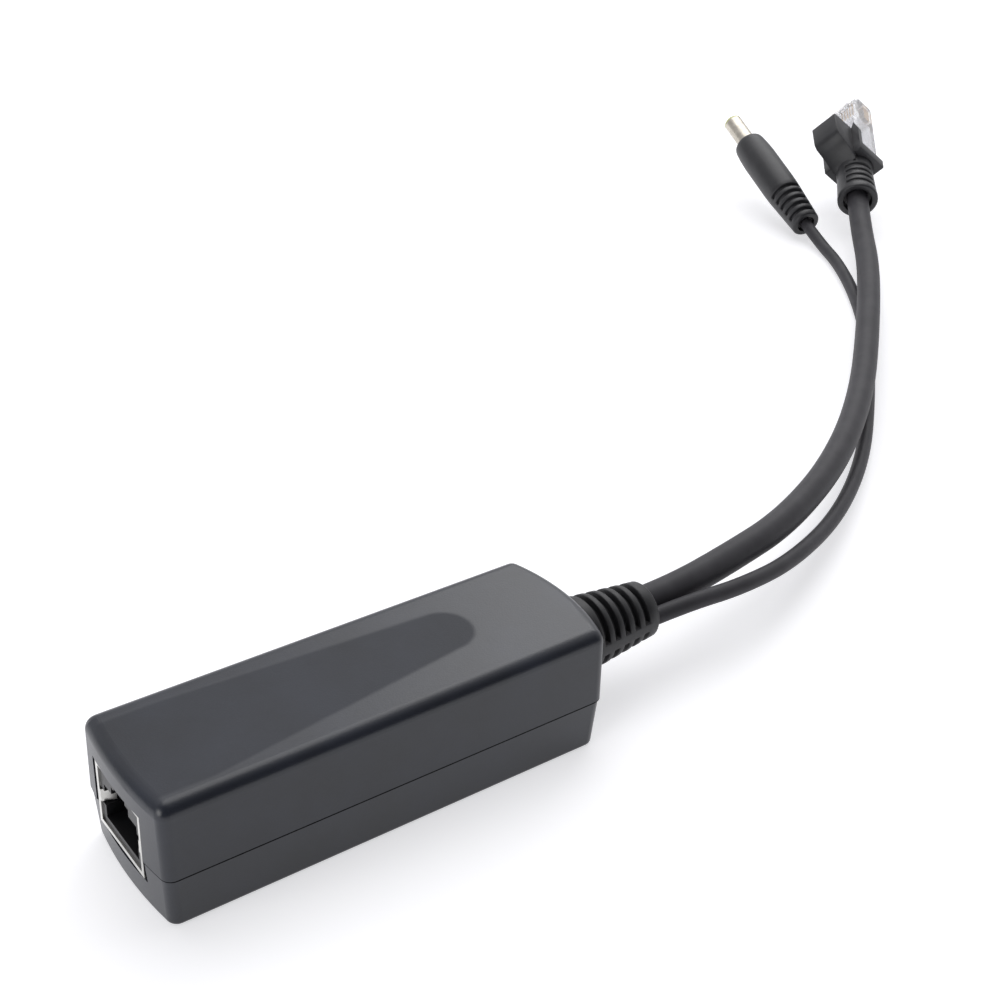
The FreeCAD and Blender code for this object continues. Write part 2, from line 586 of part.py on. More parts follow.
def cord_points(side, middle, tail, yaw, pitch, run, hollow):
    """The route: straight out of the relief, by the middle points, straight into the plug."""
    tip_x = val("far_end + relief_length")
    y, z = val("line_offset") + side, val("relief_height")
    leaving = [(tip_x, y, z), (tip_x + val("exit_run"), y, z)]
    entering = [tail - along(yaw, pitch, run), tail + along(yaw, pitch, hollow)]
    return leaving + middle + [tuple(spot) for spot in entering]


NET_MIDDLE = [(88.4, 4.9, 12.9), (110.4, 10.5, 11.6), (140.2, 25.6, 9.3), (170.3, 47.2, 7.4),
              (200.3, 74.3, 6.7), (228.3, 101.5, 6.7)]
POWER_MIDDLE = [(85.2, -2.8, 12.0), (103.3, 1.2, 9.2), (128.9, 12.9, 5.2), (155.6, 31.0, 2.4),
                (179.9, 53.1, 1.8), (201.9, 75.0, 1.8), (218.9, 96.2, 1.8), (230.9, 115.3, 1.8)]
plug_tail = V(val("plug_x"), val("plug_y"), val("plug_z"))
dc_tail = V(val("dc_x"), val("dc_y"), val("dc_z"))
CORDS = [
    ("ethernet_cable", val("net_cord"),
     cord_points(val("net_exit"), NET_MIDDLE, plug_tail, "plug_yaw", "plug_pitch",
                 "net_run", "tail_hollow_depth")),
    ("dc_cable", val("power_cord"),
     cord_points(-val("power_exit"), POWER_MIDDLE, dc_tail, "dc_yaw", "dc_pitch",
                 "power_run", "dc_hollow_depth")),
]
cords = []
for name, diameter, points in CORDS:
    tube, radii, length = route(points, diameter)
    area = math.pi * diameter ** 2 / 4
    print(name, "length %.1f" % length, "volume ratio %.4f" % (tube.Volume / (area * length)),
          "radii", [round(radius, 1) for radius in radii])
    cords.append(solid(name, [tube]))

# Modular plug boot: ringed tail, block behind the plug, flap over it and latch hood
HALF_W, HALF_T = "(boot_width / 2)", "(boot_thick / 2)"
PLUG_START = "(boot_tail + boot_back)"
plug_boot = body("plug_boot")
sk = sketch(plug_boot, "tail_profile", "XZ_Plane")
polygon(sk, [("0", "tail_hollow / 2"), ("0", "tail_diameter / 2"),
             ("tail_taper", "tail_waist / 2"), ("boot_tail", "tail_waist / 2"),
             ("boot_tail", "0"), ("tail_hollow_depth", "0"),
             ("tail_hollow_depth", "tail_hollow / 2")])
turn(plug_boot, "Revolution", sk)
sk = sketch(plug_boot, "tail_grooves", "XZ_Plane")
for n in range(4):
    x0 = "(tail_groove_start + %d * tail_groove_pitch)" % n
    for sign in ("", "-"):
        rectangle(sk, x0, x0 + " + tail_groove", sign + "(tail_waist / 2 - tail_groove_depth)",
                  sign + "(tail_diameter / 2 + 1)")
turn(plug_boot, "Groove", sk, "116", middle=True)
sk = sketch(plug_boot, "boot_block", "YZ_Plane", "boot_tail")
rectangle(sk, "-" + HALF_W, HALF_W, "-" + HALF_T, HALF_T)
step = pad(plug_boot, sk, "boot_back")
sk = sketch(plug_boot, "boot_flap_end", "YZ_Plane", PLUG_START)
rectangle(sk, "-" + HALF_W, HALF_W, "plug_thick / 2 + fit_gap / 2", HALF_T)
pad(plug_boot, sk, "boot_flap - boot_back")
# latch hood: raised cap, ramped down to the back, open to the front and hollow over the latch
HOOD_TOP = "(%s + hood_rise)" % HALF_T
sk = sketch(plug_boot, "hood_profile", "XZ_Plane", "-hood_width / 2")
polygon(sk, [("boot_tail", HALF_T + " - 0.5"), ("boot_tail", HALF_T),
             ("boot_tail + hood_ramp", HOOD_TOP + " - hood_crown"),
             ("boot_tail + hood_length", HOOD_TOP), ("boot_tail + hood_length", HALF_T + " - 0.5")])
pad(plug_boot, sk, "hood_width")
sk = sketch(plug_boot, "hood_hollow", "YZ_Plane", "boot_tail + hood_length + 1")
rectangle(sk, "-hood_width / 2 + hood_wall", "hood_width / 2 - hood_wall",
          "plug_thick / 2 + fit_gap / 2", HOOD_TOP + " - hood_crown - hood_wall")
pocket(plug_boot, sk, "hood_length - hood_ramp + 1")
place(plug_boot, "plug_x", "plug_y", "plug_z", "plug_yaw", "plug_pitch", "-plug_roll")

# Modular plug: clear moulding with a stepped nose, contact slots and a sprung latch
NOSE = "(%s + plug_length)" % PLUG_START
plug_housing = body("plug_housing")
sk = sketch(plug_housing, "plug_side", "XZ_Plane", "-plug_width / 2")
SIDE = "(plug_thick / 2)"
polygon(sk, [(PLUG_START, "-" + SIDE), (NOSE + " - nose_edge", "-" + SIDE),
             (NOSE, "nose_edge - " + SIDE), (NOSE, "plug_nose - nose_edge - " + SIDE),
             (NOSE + " - nose_edge", "plug_nose - " + SIDE),
             (NOSE + " - nose_step", "plug_nose - " + SIDE), (NOSE + " - nose_step", SIDE),
             (PLUG_START, SIDE)])
pad(plug_housing, sk, "plug_width")
# hollow for the jacket and the wires, open at the back
sk = sketch(plug_housing, "jacket_hole", "YZ_Plane", PLUG_START)
rectangle(sk, "plug_wall - plug_width / 2", "plug_width / 2 - plug_wall", "plug_wall - " + SIDE,
          SIDE + " - plug_wall")
pocket(plug_housing, sk, "jacket_room", back=True)
# eight slots for the contact blades, on the side away from the latch
sk = sketch(plug_housing, "blade_slots", "YZ_Plane", NOSE)
for n in range(8):
    y = "%s * blade_pitch" % (n - 3.5)
    rectangle(sk, y + " - blade_thick / 2 - blade_gap", y + " + blade_thick / 2 + blade_gap",
              "-plug_thick / 2 - 1", "blade_rise + blade_height + blade_gap - " + SIDE)
pocket(plug_housing, sk, "blade_inset + blade_length + blade_gap")
# latch: hinged at the nose, rising towards the back, with the two locking shoulders
HINGE = [(NOSE + " - latch_root - latch_hinge", SIDE + " - latch_sink"),
         (NOSE + " - latch_root", SIDE + " - latch_sink"), (NOSE + " - latch_root", SIDE),
         (NOSE + " - latch_knee", SIDE + " + latch_knee_rise")]
BACK = [(NOSE + " - latch_knee", SIDE + " + latch_knee_rise - latch_thick"),
        (NOSE + " - latch_root - latch_hinge", SIDE + " - latch_thick")]
TAIL = [(NOSE + " - latch_length", SIDE + " + latch_rise"),
        (NOSE + " - latch_length", SIDE + " + latch_rise - latch_thick")]
sk = sketch(plug_housing, "latch_side", "XZ_Plane", "-latch_width / 2")
polygon(sk, HINGE + TAIL + BACK)
pad(plug_housing, sk, "latch_width")
sk = sketch(plug_housing, "latch_shoulders", "XZ_Plane", "-latch_shoulder / 2")
polygon(sk, HINGE + BACK)
pad(plug_housing, sk, "latch_shoulder")
place(plug_housing, "plug_x", "plug_y", "plug_z", "plug_yaw", "plug_pitch", "-plug_roll")

# Blades: gilded contacts pressed into the slots
front = val(NOSE + " - blade_inset")
low = val("blade_rise - plug_thick / 2")
rear, high, slope = front - val("blade_length"), low + val("blade_height"), val("blade_thick")
blade = [(rear, low), (front - slope, low), (front, low + slope), (front, high), (rear, high)]
plug_contacts = solid("plug_contacts", [
    strip(blade, val("blade_thick"), val("%s * blade_pitch" % (n - 3.5))) for n in range(8)])
place(plug_contacts, "plug_x", "plug_y", "plug_z", "plug_yaw", "plug_pitch", "-plug_roll")

# Barrel plug: soft body, nickel sleeve, insulating liner and sprung centre contact
dc_plug_body = body("dc_plug_body")
sk = sketch(dc_plug_body, "dc_profile", "XZ_Plane")
polygon(sk, [("0", "dc_hollow / 2"), ("0", "dc_tail / 2"),
             ("dc_swell", "dc_diameter / 2"), ("dc_shoulder", "dc_diameter / 2"),
             ("dc_length", "dc_front / 2"), ("dc_length", "0"), ("dc_hollow_depth", "0"),
             ("dc_hollow_depth", "dc_hollow / 2")])
step = turn(dc_plug_body, "Revolution", sk)
tip, inner_rim = val("dc_length") - 0.01, math.pi * val("barrel_diameter") / 4
fillet(dc_plug_body, step, "dc_nose_edge",
       lambda e: e.BoundBox.XMin > tip and e.Length > inner_rim, kind="Chamfer")
sk = sketch(dc_plug_body, "dc_grooves", "XZ_Plane")
for n in range(5):
    x0 = "(dc_groove_start + %d * dc_groove_pitch)" % n
    bed = "(dc_tail / 2 - dc_groove_depth + %s * (dc_diameter - dc_tail) / 2 / dc_swell)" % x0
    for sign in ("", "-"):
        rectangle(sk, x0, x0 + " + dc_groove", sign + bed, sign + "(dc_diameter / 2 + 1)")
turn(dc_plug_body, "Groove", sk, "128", middle=True)

dc_plug_barrel = body("dc_plug_barrel")
sk = sketch(dc_plug_barrel, "sleeve_profile", "XZ_Plane")
polygon(sk, [("dc_length", "barrel_diameter / 2"),
             ("dc_length + barrel_length - liner_tip", "barrel_diameter / 2"),
             ("dc_length + barrel_length - liner_tip", "barrel_diameter / 2 - barrel_wall"),
             ("dc_length", "barrel_diameter / 2 - barrel_wall")])
turn(dc_plug_barrel, "Revolution", sk)

dc_plug_liner = body("dc_plug_liner")
sk = sketch(dc_plug_liner, "liner_profile", "XZ_Plane")
polygon(sk, [("dc_length", "barrel_diameter / 2 - barrel_wall"),
             ("dc_length + barrel_length - liner_tip", "barrel_diameter / 2 - barrel_wall"),
             ("dc_length + barrel_length - liner_tip", "barrel_diameter / 2"),
             ("dc_length + barrel_length - liner_tip / 2", "barrel_diameter / 2"),
             ("dc_length + barrel_length", "barrel_diameter / 2 - barrel_wall"),
             ("dc_length + barrel_length", "centre_bore / 2 + socket_wall"),
             ("dc_length", "centre_bore / 2 + socket_wall")])
turn(dc_plug_liner, "Revolution", sk)

dc_plug_contact = body("dc_plug_contact")
sk = sketch(dc_plug_contact, "socket_profile", "XZ_Plane")
polygon(sk, [("dc_length", "centre_bore / 2"),
             ("dc_length + barrel_length - liner_tip", "centre_bore / 2"),
             ("dc_length + barrel_length - liner_tip", "centre_bore / 2 + socket_wall"),
             ("dc_length", "centre_bore / 2 + socket_wall")])
turn(dc_plug_contact, "Revolution", sk)
DC_PIECES = [dc_plug_body, dc_plug_barrel, dc_plug_liner, dc_plug_contact]
for piece in DC_PIECES:
    place(piece, "dc_x", "dc_y", "dc_z", "dc_yaw", "dc_pitch")


# Parts on the board
def package(name, key, x, y, base="board_top + package_lift"):
    """A moulded package, standing clear of the board where leads carry it."""
    made = block(name, "%s - %s_length / 2" % (x, key), "%s + %s_length / 2" % (x, key),
                 "%s - %s_width / 2" % (y, key), "%s + %s_width / 2" % (y, key),
                 base, "board_top + %s_height" % key)
    made.Label = name
    return made


def gull_leads(x, y, key, count, pitch, rise):
    """Two rows of bent leads, from a package's long sides down to their feet on the board."""
    side_y, reach, foot = val(key + "_width") / 2, val("lead_reach"), val("lead_foot")
    thick, width, top = val("lead_thick"), val("lead_width"), val("board_top")
    knee = side_y + reach - foot
    profile = [(side_y, rise), (knee - thick, rise), (knee - thick, 0), (side_y + reach, 0),
               (side_y + reach, thick), (knee, thick), (knee, rise + thick),
               (side_y, rise + thick)]
    made = []
    for side in (-1, 1):
        for n in range(count):
            low = val(x) + (n - (count - 1) / 2) * pitch - width / 2
            ring = [V(low, val(y) + side * out, top + up) for out, up in profile]
            made.append(Part.Face(Part.makePolygon(ring + ring[:1])).extrude(V(width, 0, 0)))
    return made


NEAR_EDGE = "(edge_room - board_half)"
FAR_EDGE = "(board_half - edge_room)"

# isolating network transformers in one moulded module
MAGNETICS = ("(face + magnetics_x + magnetics_length / 2)",
             "(%s + lead_reach + magnetics_width / 2)" % NEAR_EDGE)
package("magnetics_module", "magnetics", *MAGNETICS)
solid("magnetics_leads", gull_leads(*MAGNETICS, "magnetics", 8, 1.27, 1.6))

# two bridge rectifiers, one for each pair of lines
BRIDGES = [(x, "(%s - lead_reach - bridge_width / 2)" % FAR_EDGE)
           for x in ("(face + magnetics_x + bridge_length / 2)",
                     "(face + supply_x - bridge_length / 2)")]
join("bridge_rectifiers", "Compound", [package("bridge", "bridge", *spot) for spot in BRIDGES])
solid("bridge_leads", [lead for spot in BRIDGES
                       for lead in gull_leads(*spot, "bridge", 2, 2.5, 0.9)])

# supply controller with its eight leads, and the power transistor that it drives
SUPPLY_MIDDLE = "(face + (supply_x + core_x) / 2)"
CONTROLLER = ("(face + supply_x + chip_width + 2 * part_gap + controller_length / 2)",
              "(%s + lead_reach + controller_width / 2)" % NEAR_EDGE)
package("controller_chip", "controller", *CONTROLLER)
solid("controller_leads", gull_leads(*CONTROLLER, "controller", 4, 1.27, 0.5))
package("power_transistor", "transistor", SUPPLY_MIDDLE,
        "(%s - can_diameter - part_gap - transistor_width / 2)" % FAR_EDGE, "board_top")

# optical coupler for the feedback, and the output rectifier
COUPLER = ("(face + core_x + part_gap + coupler_length / 2)",
           "(%s - lead_reach - coupler_width / 2)" % FAR_EDGE)
package("feedback_coupler", "coupler", *COUPLER)
solid("coupler_leads", gull_leads(*COUPLER, "coupler", 2, 2.54, 0.8))
CLAMP_REACH = "(clamp_edge + clamp_diameter / 2 + part_gap)"
package("output_diode", "diode", "(face + output_x + part_gap + diode_length / 2)",
        "(board_half - %s - diode_width / 2)" % CLAMP_REACH, "board_top")


# electrolytic cans, bevelled at both rims where the sleeve is rolled over
def electrolytic(name, x, y):
    plain = can(name + "_blank", x, y, "board_top", "can_diameter", "can_height")
    doc.recompute()
    made = doc.addObject("Part::Chamfer", name)
    made.Base = plain
    edge = val("can_edge")
    made.Edges = [(i, edge, edge) for i, rim in enumerate(plain.Shape.Edges, start=1)
                  if rim.Closed and rim.BoundBox.ZLength < 0.01]
    made.Label = name


electrolytic("input_capacitor", SUPPLY_MIDDLE, FAR_EDGE + " - can_diameter / 2")
electrolytic("output_capacitor", "face + output_x + part_gap + can_diameter / 2",
             "%s - board_half + can_diameter / 2" % CLAMP_REACH)

# output coil on a drum core
COIL = ("face + output_x - part_gap - inductor_diameter / 2",
        FAR_EDGE + " - inductor_diameter / 2")
drum = [can("drum_foot", *COIL, "board_top", "inductor_diameter", "inductor_rim"),
        can("drum_waist", *COIL, "board_top", "inductor_waist", "inductor_height"),
        can("drum_cap", *COIL, "board_top + inductor_height - inductor_rim",
            "inductor_diameter", "inductor_rim")]
join("output_inductor", "MultiFuse", drum)

# transformer: flat ferrite core round a bobbin that carries the winding and stands on pins
TX, TY = "(face + (core_x + output_x) / 2)", "(%s + core_width / 2)" % NEAR_EDGE
TZ = "(board_top + core_rise)"


def centred(name, half_x, half_y, half_z):
    """A block about the transformer's middle."""
    return block(name, "%s - (%s)" % (TX, half_x), "%s + (%s)" % (TX, half_x),
                 "%s - (%s)" % (TY, half_y), "%s + (%s)" % (TY, half_y),
                 "%s - (%s)" % (TZ, half_z), "%s + (%s)" % (TZ, half_z))


WINDOW_X = "(core_length / 2 - core_limb)"
WINDOW_Y = "(core_width / 2 - core_limb)"
core_block = centred("core_block", "core_length / 2", "core_width / 2", "core_thick / 2")
core_room = centred("core_room", WINDOW_X, WINDOW_Y, "core_thick")
core_ring = join("core_ring", "Cut", (core_block, core_room))
core_middle = centred("core_middle", "core_length / 2", "centre_limb / 2", "core_thick / 2")
join("transformer_core", "MultiFuse", [core_ring, core_middle])

TUBE_Y = "(centre_limb / 2 + fit_gap + bobbin_wall)"
TUBE_Z = "(core_thick / 2 + fit_gap + bobbin_wall)"
SPOOL_X = "(%s - fit_gap)" % WINDOW_X
SPOOL_Y = "(%s - fit_gap)" % WINDOW_Y
spool_block = centred("spool_block", SPOOL_X, SPOOL_Y, "bobbin_height / 2")
spool_room = centred("spool_room", SPOOL_X + " - bobbin_wall", SPOOL_Y + " + 1",
                     "bobbin_height / 2 + 1")
flanges = join("spool_flanges", "Cut", (spool_block, spool_room))
tube = centred("spool_tube", SPOOL_X, TUBE_Y, TUBE_Z)
RAIL_NEAR = "(%s - bobbin_wall)" % SPOOL_X
RAIL_FAR = "(core_length / 2 + rail_reach)"
RAIL_SPAN = (TY + " - core_width / 2 + rail_inset", TY + " + core_width / 2 - rail_inset",
             "board_top + rail_low", "board_top + rail_low + rail_height")
rails = [block("rail_near", TX + " - " + RAIL_FAR, TX + " - " + RAIL_NEAR, *RAIL_SPAN),
         block("rail_far", TX + " + " + RAIL_NEAR, TX + " + " + RAIL_FAR, *RAIL_SPAN)]
spool = join("spool", "MultiFuse", [flanges, tube] + rails)
bore = centred("spool_bore", SPOOL_X + " + 1", "centre_limb / 2 + fit_gap",
               "core_thick / 2 + fit_gap")
join("transformer_bobbin", "Cut", (spool, bore))
turns = centred("winding_block", SPOOL_X + " - bobbin_wall", SPOOL_Y + " - fit_gap",
                "winding_height / 2")
turns_room = centred("winding_room", SPOOL_X, TUBE_Y, TUBE_Z)
join("transformer_winding", "Cut", (turns, turns_room))
pins = []
for sign in ("-", "+"):
    x = "(%s %s (%s - rail_inset))" % (TX, sign, RAIL_FAR)
    for n in range(5):
        y = "(%s + %d * pin_pitch)" % (TY, n - 2)
        pins.append(block("core_pin", x + " - pin_side / 2", x + " + pin_side / 2",
                          y + " - pin_side / 2", y + " + pin_side / 2", "board_top",
                          "board_top + rail_low"))
join("transformer_pins", "Compound", pins)

# chip resistors and capacitors, in rows between the larger parts
BEHIND_JACK = "(face + jack_back_x + part_gap + chip_width / 2)"
BEFORE_SUPPLY = "(face + supply_x + part_gap + chip_width / 2)"
AFTER_SUPPLY = "(face + supply_x + 3 * part_gap + 1.5 * chip_width + controller_length)"
BY_COUPLER = "(face + core_x + 2 * part_gap + coupler_length + chip_width / 2)"
NEAR_ROW = ["(%s + %s * chip_length + %d * part_gap)" % (NEAR_EDGE, n + 0.5, n) for n in range(2)]
FAR_ROW = ["(%s - %s * chip_length - %d * part_gap)" % (FAR_EDGE, n + 0.5, n) for n in range(3)]
CHIPS = ([(BEHIND_JACK, y) for y in NEAR_ROW[:1] + FAR_ROW]
         + [(x, y) for x in (BEFORE_SUPPLY, AFTER_SUPPLY) for y in NEAR_ROW]
         + [(BY_COUPLER, y) for y in FAR_ROW[:2]])
chips = [block("chip", x + " - chip_width / 2", x + " + chip_width / 2",
               y + " - chip_length / 2", y + " + chip_length / 2", "board_top",
               "board_top + chip_height") for x, y in CHIPS]
join("chip_components", "Compound", chips)

# wires: eight from the network cord in two layers, and two from the power cord
wire_x, pad_x = val("far_end - flange_back - flange_thick"), val("face + board_end_x - pad_edge")
lead_x, top, mid = wire_x - val("wire_lead"), val("board_top"), val("line_offset")
height, knee, pitch = val("relief_height"), val("wire_knee"), val("wire_pitch")


def wire(start_y, start_z, pad_y, knee_z, diameter):
    """A bent wire with flat-sided skin, straight between its bends."""
    spots = [V(wire_x, start_y, start_z), V(lead_x, start_y, start_z),
             V(pad_x, pad_y, top + knee_z), V(pad_x, pad_y, top)]
    corners = [math.pi * (2 * n + 1) / 8 for n in range(8)]
    ring = [spots[0] + V(0, math.cos(a), math.sin(a)) * (diameter / 2) for a in corners]
    path = Part.makePolygon(spots)
    return path.makePipeShell([Part.makePolygon(ring + ring[:1])], True, False, 1)


network = []
for n in range(8):
    up = 1 if n % 2 else -1
    network.append(wire(mid + val("net_exit") + (n // 2 - 1.5) * val("wire_spread"),
                        height + up * val("wire_layer"), mid + (n - 3.5) * pitch,
                        knee + up * val("knee_layer"), val("net_wire")))
solid("network_wires", network)
first_pad = mid - 4.5 * pitch - val("power_gap")
power = [wire(mid - val("power_exit") - n * pitch, height, first_pad - n * (pitch + 0.3), knee,
              val("power_wire")) for n in range(2)]
solid("power_wires", power)

# Checks and files
doc.recompute()
NODES = [
    "top_shell", "bottom_shell", "circuit_board", "jack_shield", "jack_insert",
    "jack_contacts", "magnetics_module", "magnetics_leads", "bridge_rectifiers",
    "bridge_leads", "controller_chip", "controller_leads", "power_transistor",
    "input_capacitor", "output_capacitor", "transformer_core", "transformer_bobbin",
    "transformer_winding", "transformer_pins", "feedback_coupler", "coupler_leads",
    "output_diode", "output_inductor", "chip_components", "network_wires", "power_wires",
    "strain_relief", "ethernet_cable", "dc_cable", "plug_boot", "plug_housing",
    "plug_contacts", "dc_plug_body", "dc_plug_barrel", "dc_plug_liner", "dc_plug_contact",
]
for item in doc.Objects:
    if any(word in item.State for word in ("Invalid", "Error")):
        raise RuntimeError("%s is %s" % (item.Name, item.State))
os.makedirs("parts", exist_ok=True)
for name in NODES:
    shape = doc.getObjectsByLabel(name)[0].Shape
    if shape.isNull() or not shape.isValid() or not shape.Solids:
        raise RuntimeError(name + " has no sound solid")
    box = shape.BoundBox
    print("%-20s %2d solid(s) %9.2f mm3  x %7.2f %7.2f  y %7.2f %7.2f  z %6.2f %6.2f" % (
        name, len(shape.Solids), shape.Volume, box.XMin, box.XMax, box.YMin, box.YMax,
        box.ZMin, box.ZMax))
    shape.exportStep("parts/%s.step" % name)
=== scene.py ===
import math
import bpy
from mathutils import Euler, Matrix, Quaternion, Vector


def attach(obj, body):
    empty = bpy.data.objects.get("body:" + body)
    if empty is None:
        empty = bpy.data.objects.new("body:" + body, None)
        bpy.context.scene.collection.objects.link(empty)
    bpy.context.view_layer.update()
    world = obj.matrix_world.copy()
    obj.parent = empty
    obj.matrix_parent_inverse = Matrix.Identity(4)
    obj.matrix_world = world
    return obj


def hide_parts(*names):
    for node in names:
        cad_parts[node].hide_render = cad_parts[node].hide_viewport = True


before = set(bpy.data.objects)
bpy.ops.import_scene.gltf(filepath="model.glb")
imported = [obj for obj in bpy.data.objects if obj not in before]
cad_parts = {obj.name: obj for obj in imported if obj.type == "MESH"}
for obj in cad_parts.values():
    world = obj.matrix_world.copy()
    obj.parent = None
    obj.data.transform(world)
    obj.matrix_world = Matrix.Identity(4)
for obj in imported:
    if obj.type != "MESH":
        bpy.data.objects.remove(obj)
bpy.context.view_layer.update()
bpy.ops.object.select_all(action="DESELECT")
mm = 0.001

# Camera: a short telephoto lens a little under 40 cm from the middle of the cords, looking down on
# the jack's end and the long side. It leans by a few degrees, as a hand-held one does.
aim = Vector((0.0755, 0.0637, 0.0))
distance = 0.3875
around, above, lean = -0.6406, 0.5549, 0.04539
back = Vector((math.sin(around) * math.cos(above), -math.cos(around) * math.cos(above),
               math.sin(above)))
camera = bpy.data.objects.new("camera", bpy.data.cameras.new("camera"))
camera.data.lens = 62.86
camera.data.sensor_width = 36
camera.data.clip_start = 0.01
camera.location = aim + distance * back
camera.rotation_mode = "QUATERNION"
camera.rotation_quaternion = back.to_track_quat("Z", "Y") @ Quaternion((0, 0, 1), lean)
bpy.context.collection.objects.link(camera)
bpy.context.scene.camera = camera
bpy.context.scene.view_settings.view_transform = "Standard"


# Table and light: a white table top that runs out of sight in the main view, a white room that is
# darker on the camera's side, and three soft boxes: behind the cords' end, overhead and by the
# jack. The table keeps the object's soft shadow.
def colour(code):
    """The linear colour that an sRGB hex value stands for."""
    parts = [int(code[n:n + 2], 16) / 255 for n in (1, 3, 5)]
    return [c / 12.92 if c < 0.04045 else ((c + 0.055) / 1.055) ** 2.4 for c in parts] + [1]


def add(tree, kind, settings=None, links=None):
    """Adds a node, sets its properties, sockets or colour stops, and links its inputs."""
    made = tree.nodes.new("ShaderNode" + kind)
    for key, value in (settings or {}).items():
        if key == "stops":
            ramp = made.color_ramp.elements
            while len(ramp) < len(value):
                ramp.new(0.5)
            for stop, (place, shade) in zip(ramp, value):
                stop.position = place
                stop.color = shade
        elif isinstance(key, str) and hasattr(made, key):
            setattr(made, key, value)
        else:
            made.inputs[key].default_value = value
    for socket, source in (links or {}).items():
        tree.links.new(source, made.inputs[socket])
    return made


room = bpy.data.worlds.new("white_room")
bpy.context.scene.world = room
room.use_nodes = True
tree = room.node_tree
tree.nodes.clear()
ray = add(tree, "LightPath")
seen = add(tree, "Math", {"operation": "MAXIMUM"},
           {0: ray.outputs["Is Camera Ray"], 1: ray.outputs["Is Transmission Ray"]})
way = add(tree, "TexCoord")
facing = add(tree, "VectorMath", {"operation": "DOT_PRODUCT", 1: (0.6, 0.8, 0.25)},
             {0: way.outputs["Generated"]})
dimmed = add(tree, "MapRange", {"interpolation_type": "SMOOTHSTEP", "From Min": -0.18,
                                "From Max": 0.6, "To Min": 0.07, "To Max": 0.8},
             {"Value": facing.outputs["Value"]})
strength = add(tree, "Mix", {"B": 1.0}, {"Factor": seen.outputs[0], "A": dimmed.outputs[0]})
sky = add(tree, "Background", {"Color": colour("#fcfcff")}, {"Strength": strength.outputs[0]})
add(tree, "OutputWorld", {}, {"Surface": sky.outputs[0]})

bpy.ops.mesh.primitive_plane_add(size=2.6, location=(0, 0, 0))
table = bpy.context.object
table.name = "table_top"
top = bpy.data.materials.new("white_coated_board")
top.use_nodes = True
tree = top.node_tree
tree.nodes.clear()
ray = add(tree, "LightPath")
direct = add(tree, "Math", {"operation": "MAXIMUM"},
             {0: ray.outputs["Is Camera Ray"], 1: ray.outputs["Is Transmission Ray"]})
direct = add(tree, "Math", {"operation": "MAXIMUM"},
             {0: direct.outputs[0], 1: ray.outputs["Is Glossy Ray"]})
board = add(tree, "BsdfDiffuse", {"Color": colour("#dadadc")})
glow = add(tree, "Emission", {"Color": colour("#fdfdff"), "Strength": 0.58})
lifted = add(tree, "AddShader", {}, {0: board.outputs[0], 1: glow.outputs[0]})
either = add(tree, "MixShader", {}, {0: direct.outputs[0], 1: board.outputs[0],
                                     2: lifted.outputs[0]})
add(tree, "OutputMaterial", {}, {"Surface": either.outputs[0]})
table.data.materials.append(top)


def soft_box(name, place, towards, width, height, power):
    """A flat soft box that faces a point."""
    lamp = bpy.data.lights.new(name, "AREA")
    lamp.shape = "RECTANGLE"
    lamp.size, lamp.size_y, lamp.energy = width, height, power
    holder = bpy.data.objects.new(name, lamp)
    holder.location = place
    holder.rotation_euler = (Vector(place) - Vector(towards)).to_track_quat("Z", "Y").to_euler()
    bpy.context.collection.objects.link(holder)


soft_box("back_box", (0.85, 0.68, 0.80), (0.0, 0.0, 0.0), 0.72, 0.60, 3.0)
soft_box("overhead_box", (0.25, 0.45, 1.2), (0.05, 0.05, 0.0), 0.9, 0.9, 4.2)
soft_box("jack_box", (-0.9, -0.1, 0.35), (-0.04, 0.0, 0.0), 0.6, 0.5, 3.6)


# Network cord: four twisted pairs in a satin PVC jacket, 6.2 mm across and 24 cm long. It comes
# straight out of the strain relief, sinks to the table and rises into the plug's boot.
def lay_cord(name, diameter, route):
    """A round cord along a smooth curve that the route's points lead."""
    curve = bpy.data.curves.new(name, "CURVE")
    curve.dimensions = "3D"
    curve.bevel_depth = diameter / 2
    curve.bevel_resolution = 9
    curve.resolution_u = 14
    curve.use_fill_caps = True
    line = curve.splines.new("NURBS")
    line.points.add(len(route) - 1)
    for point, place in zip(line.points, route):
        point.co = (*place, 1)
    line.order_u = 3
    line.use_endpoint_u = True
    cord = bpy.data.objects.new(name, curve)
    bpy.context.collection.objects.link(cord)
    return cord


def started(name, sockets):
    """A new material with its shader's sockets set, its node tree and its object coordinates."""
    made = bpy.data.materials.new(name)
    made.use_nodes = True
    shader = made.node_tree.nodes["Principled BSDF"]
    for key, value in sockets.items():
        shader.inputs[key].default_value = value
    place = add(made.node_tree, "TexCoord").outputs["Object"]
    return made, made.node_tree, shader, place


def dress(node, material):
    """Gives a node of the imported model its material."""
    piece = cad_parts[node]
    piece.data.materials.clear()
    piece.data.materials.append(material)


# extruded PVC with a low, wide sheen, so that it looks about as dark all along; soft blotches
# stand for its faint drag marks
jacket, tree, shader, place = started("extruded_satin_pvc", {"Roughness": 0.55, "IOR": 1.53,
                                                             "Specular IOR Level": 0.28})
blotch = add(tree, "TexNoise", {"Scale": 160.0, "Detail": 3.0}, {"Vector": place})
tone = add(tree, "ValToRGB", {"stops": [(0.35, colour("#39383c")), (0.7, colour("#434246"))]},
           {0: blotch.outputs[0]})
grain = add(tree, "TexNoise", {"Scale": 2600.0, "Detail": 2.0}, {"Vector": place})
relief = add(tree, "Bump", {"Strength": 0.25, "Distance": 0.00004}, {"Height": grain.outputs[0]})
tree.links.new(tone.outputs[0], shader.inputs["Base Color"])
tree.links.new(relief.outputs[0], shader.inputs["Normal"])

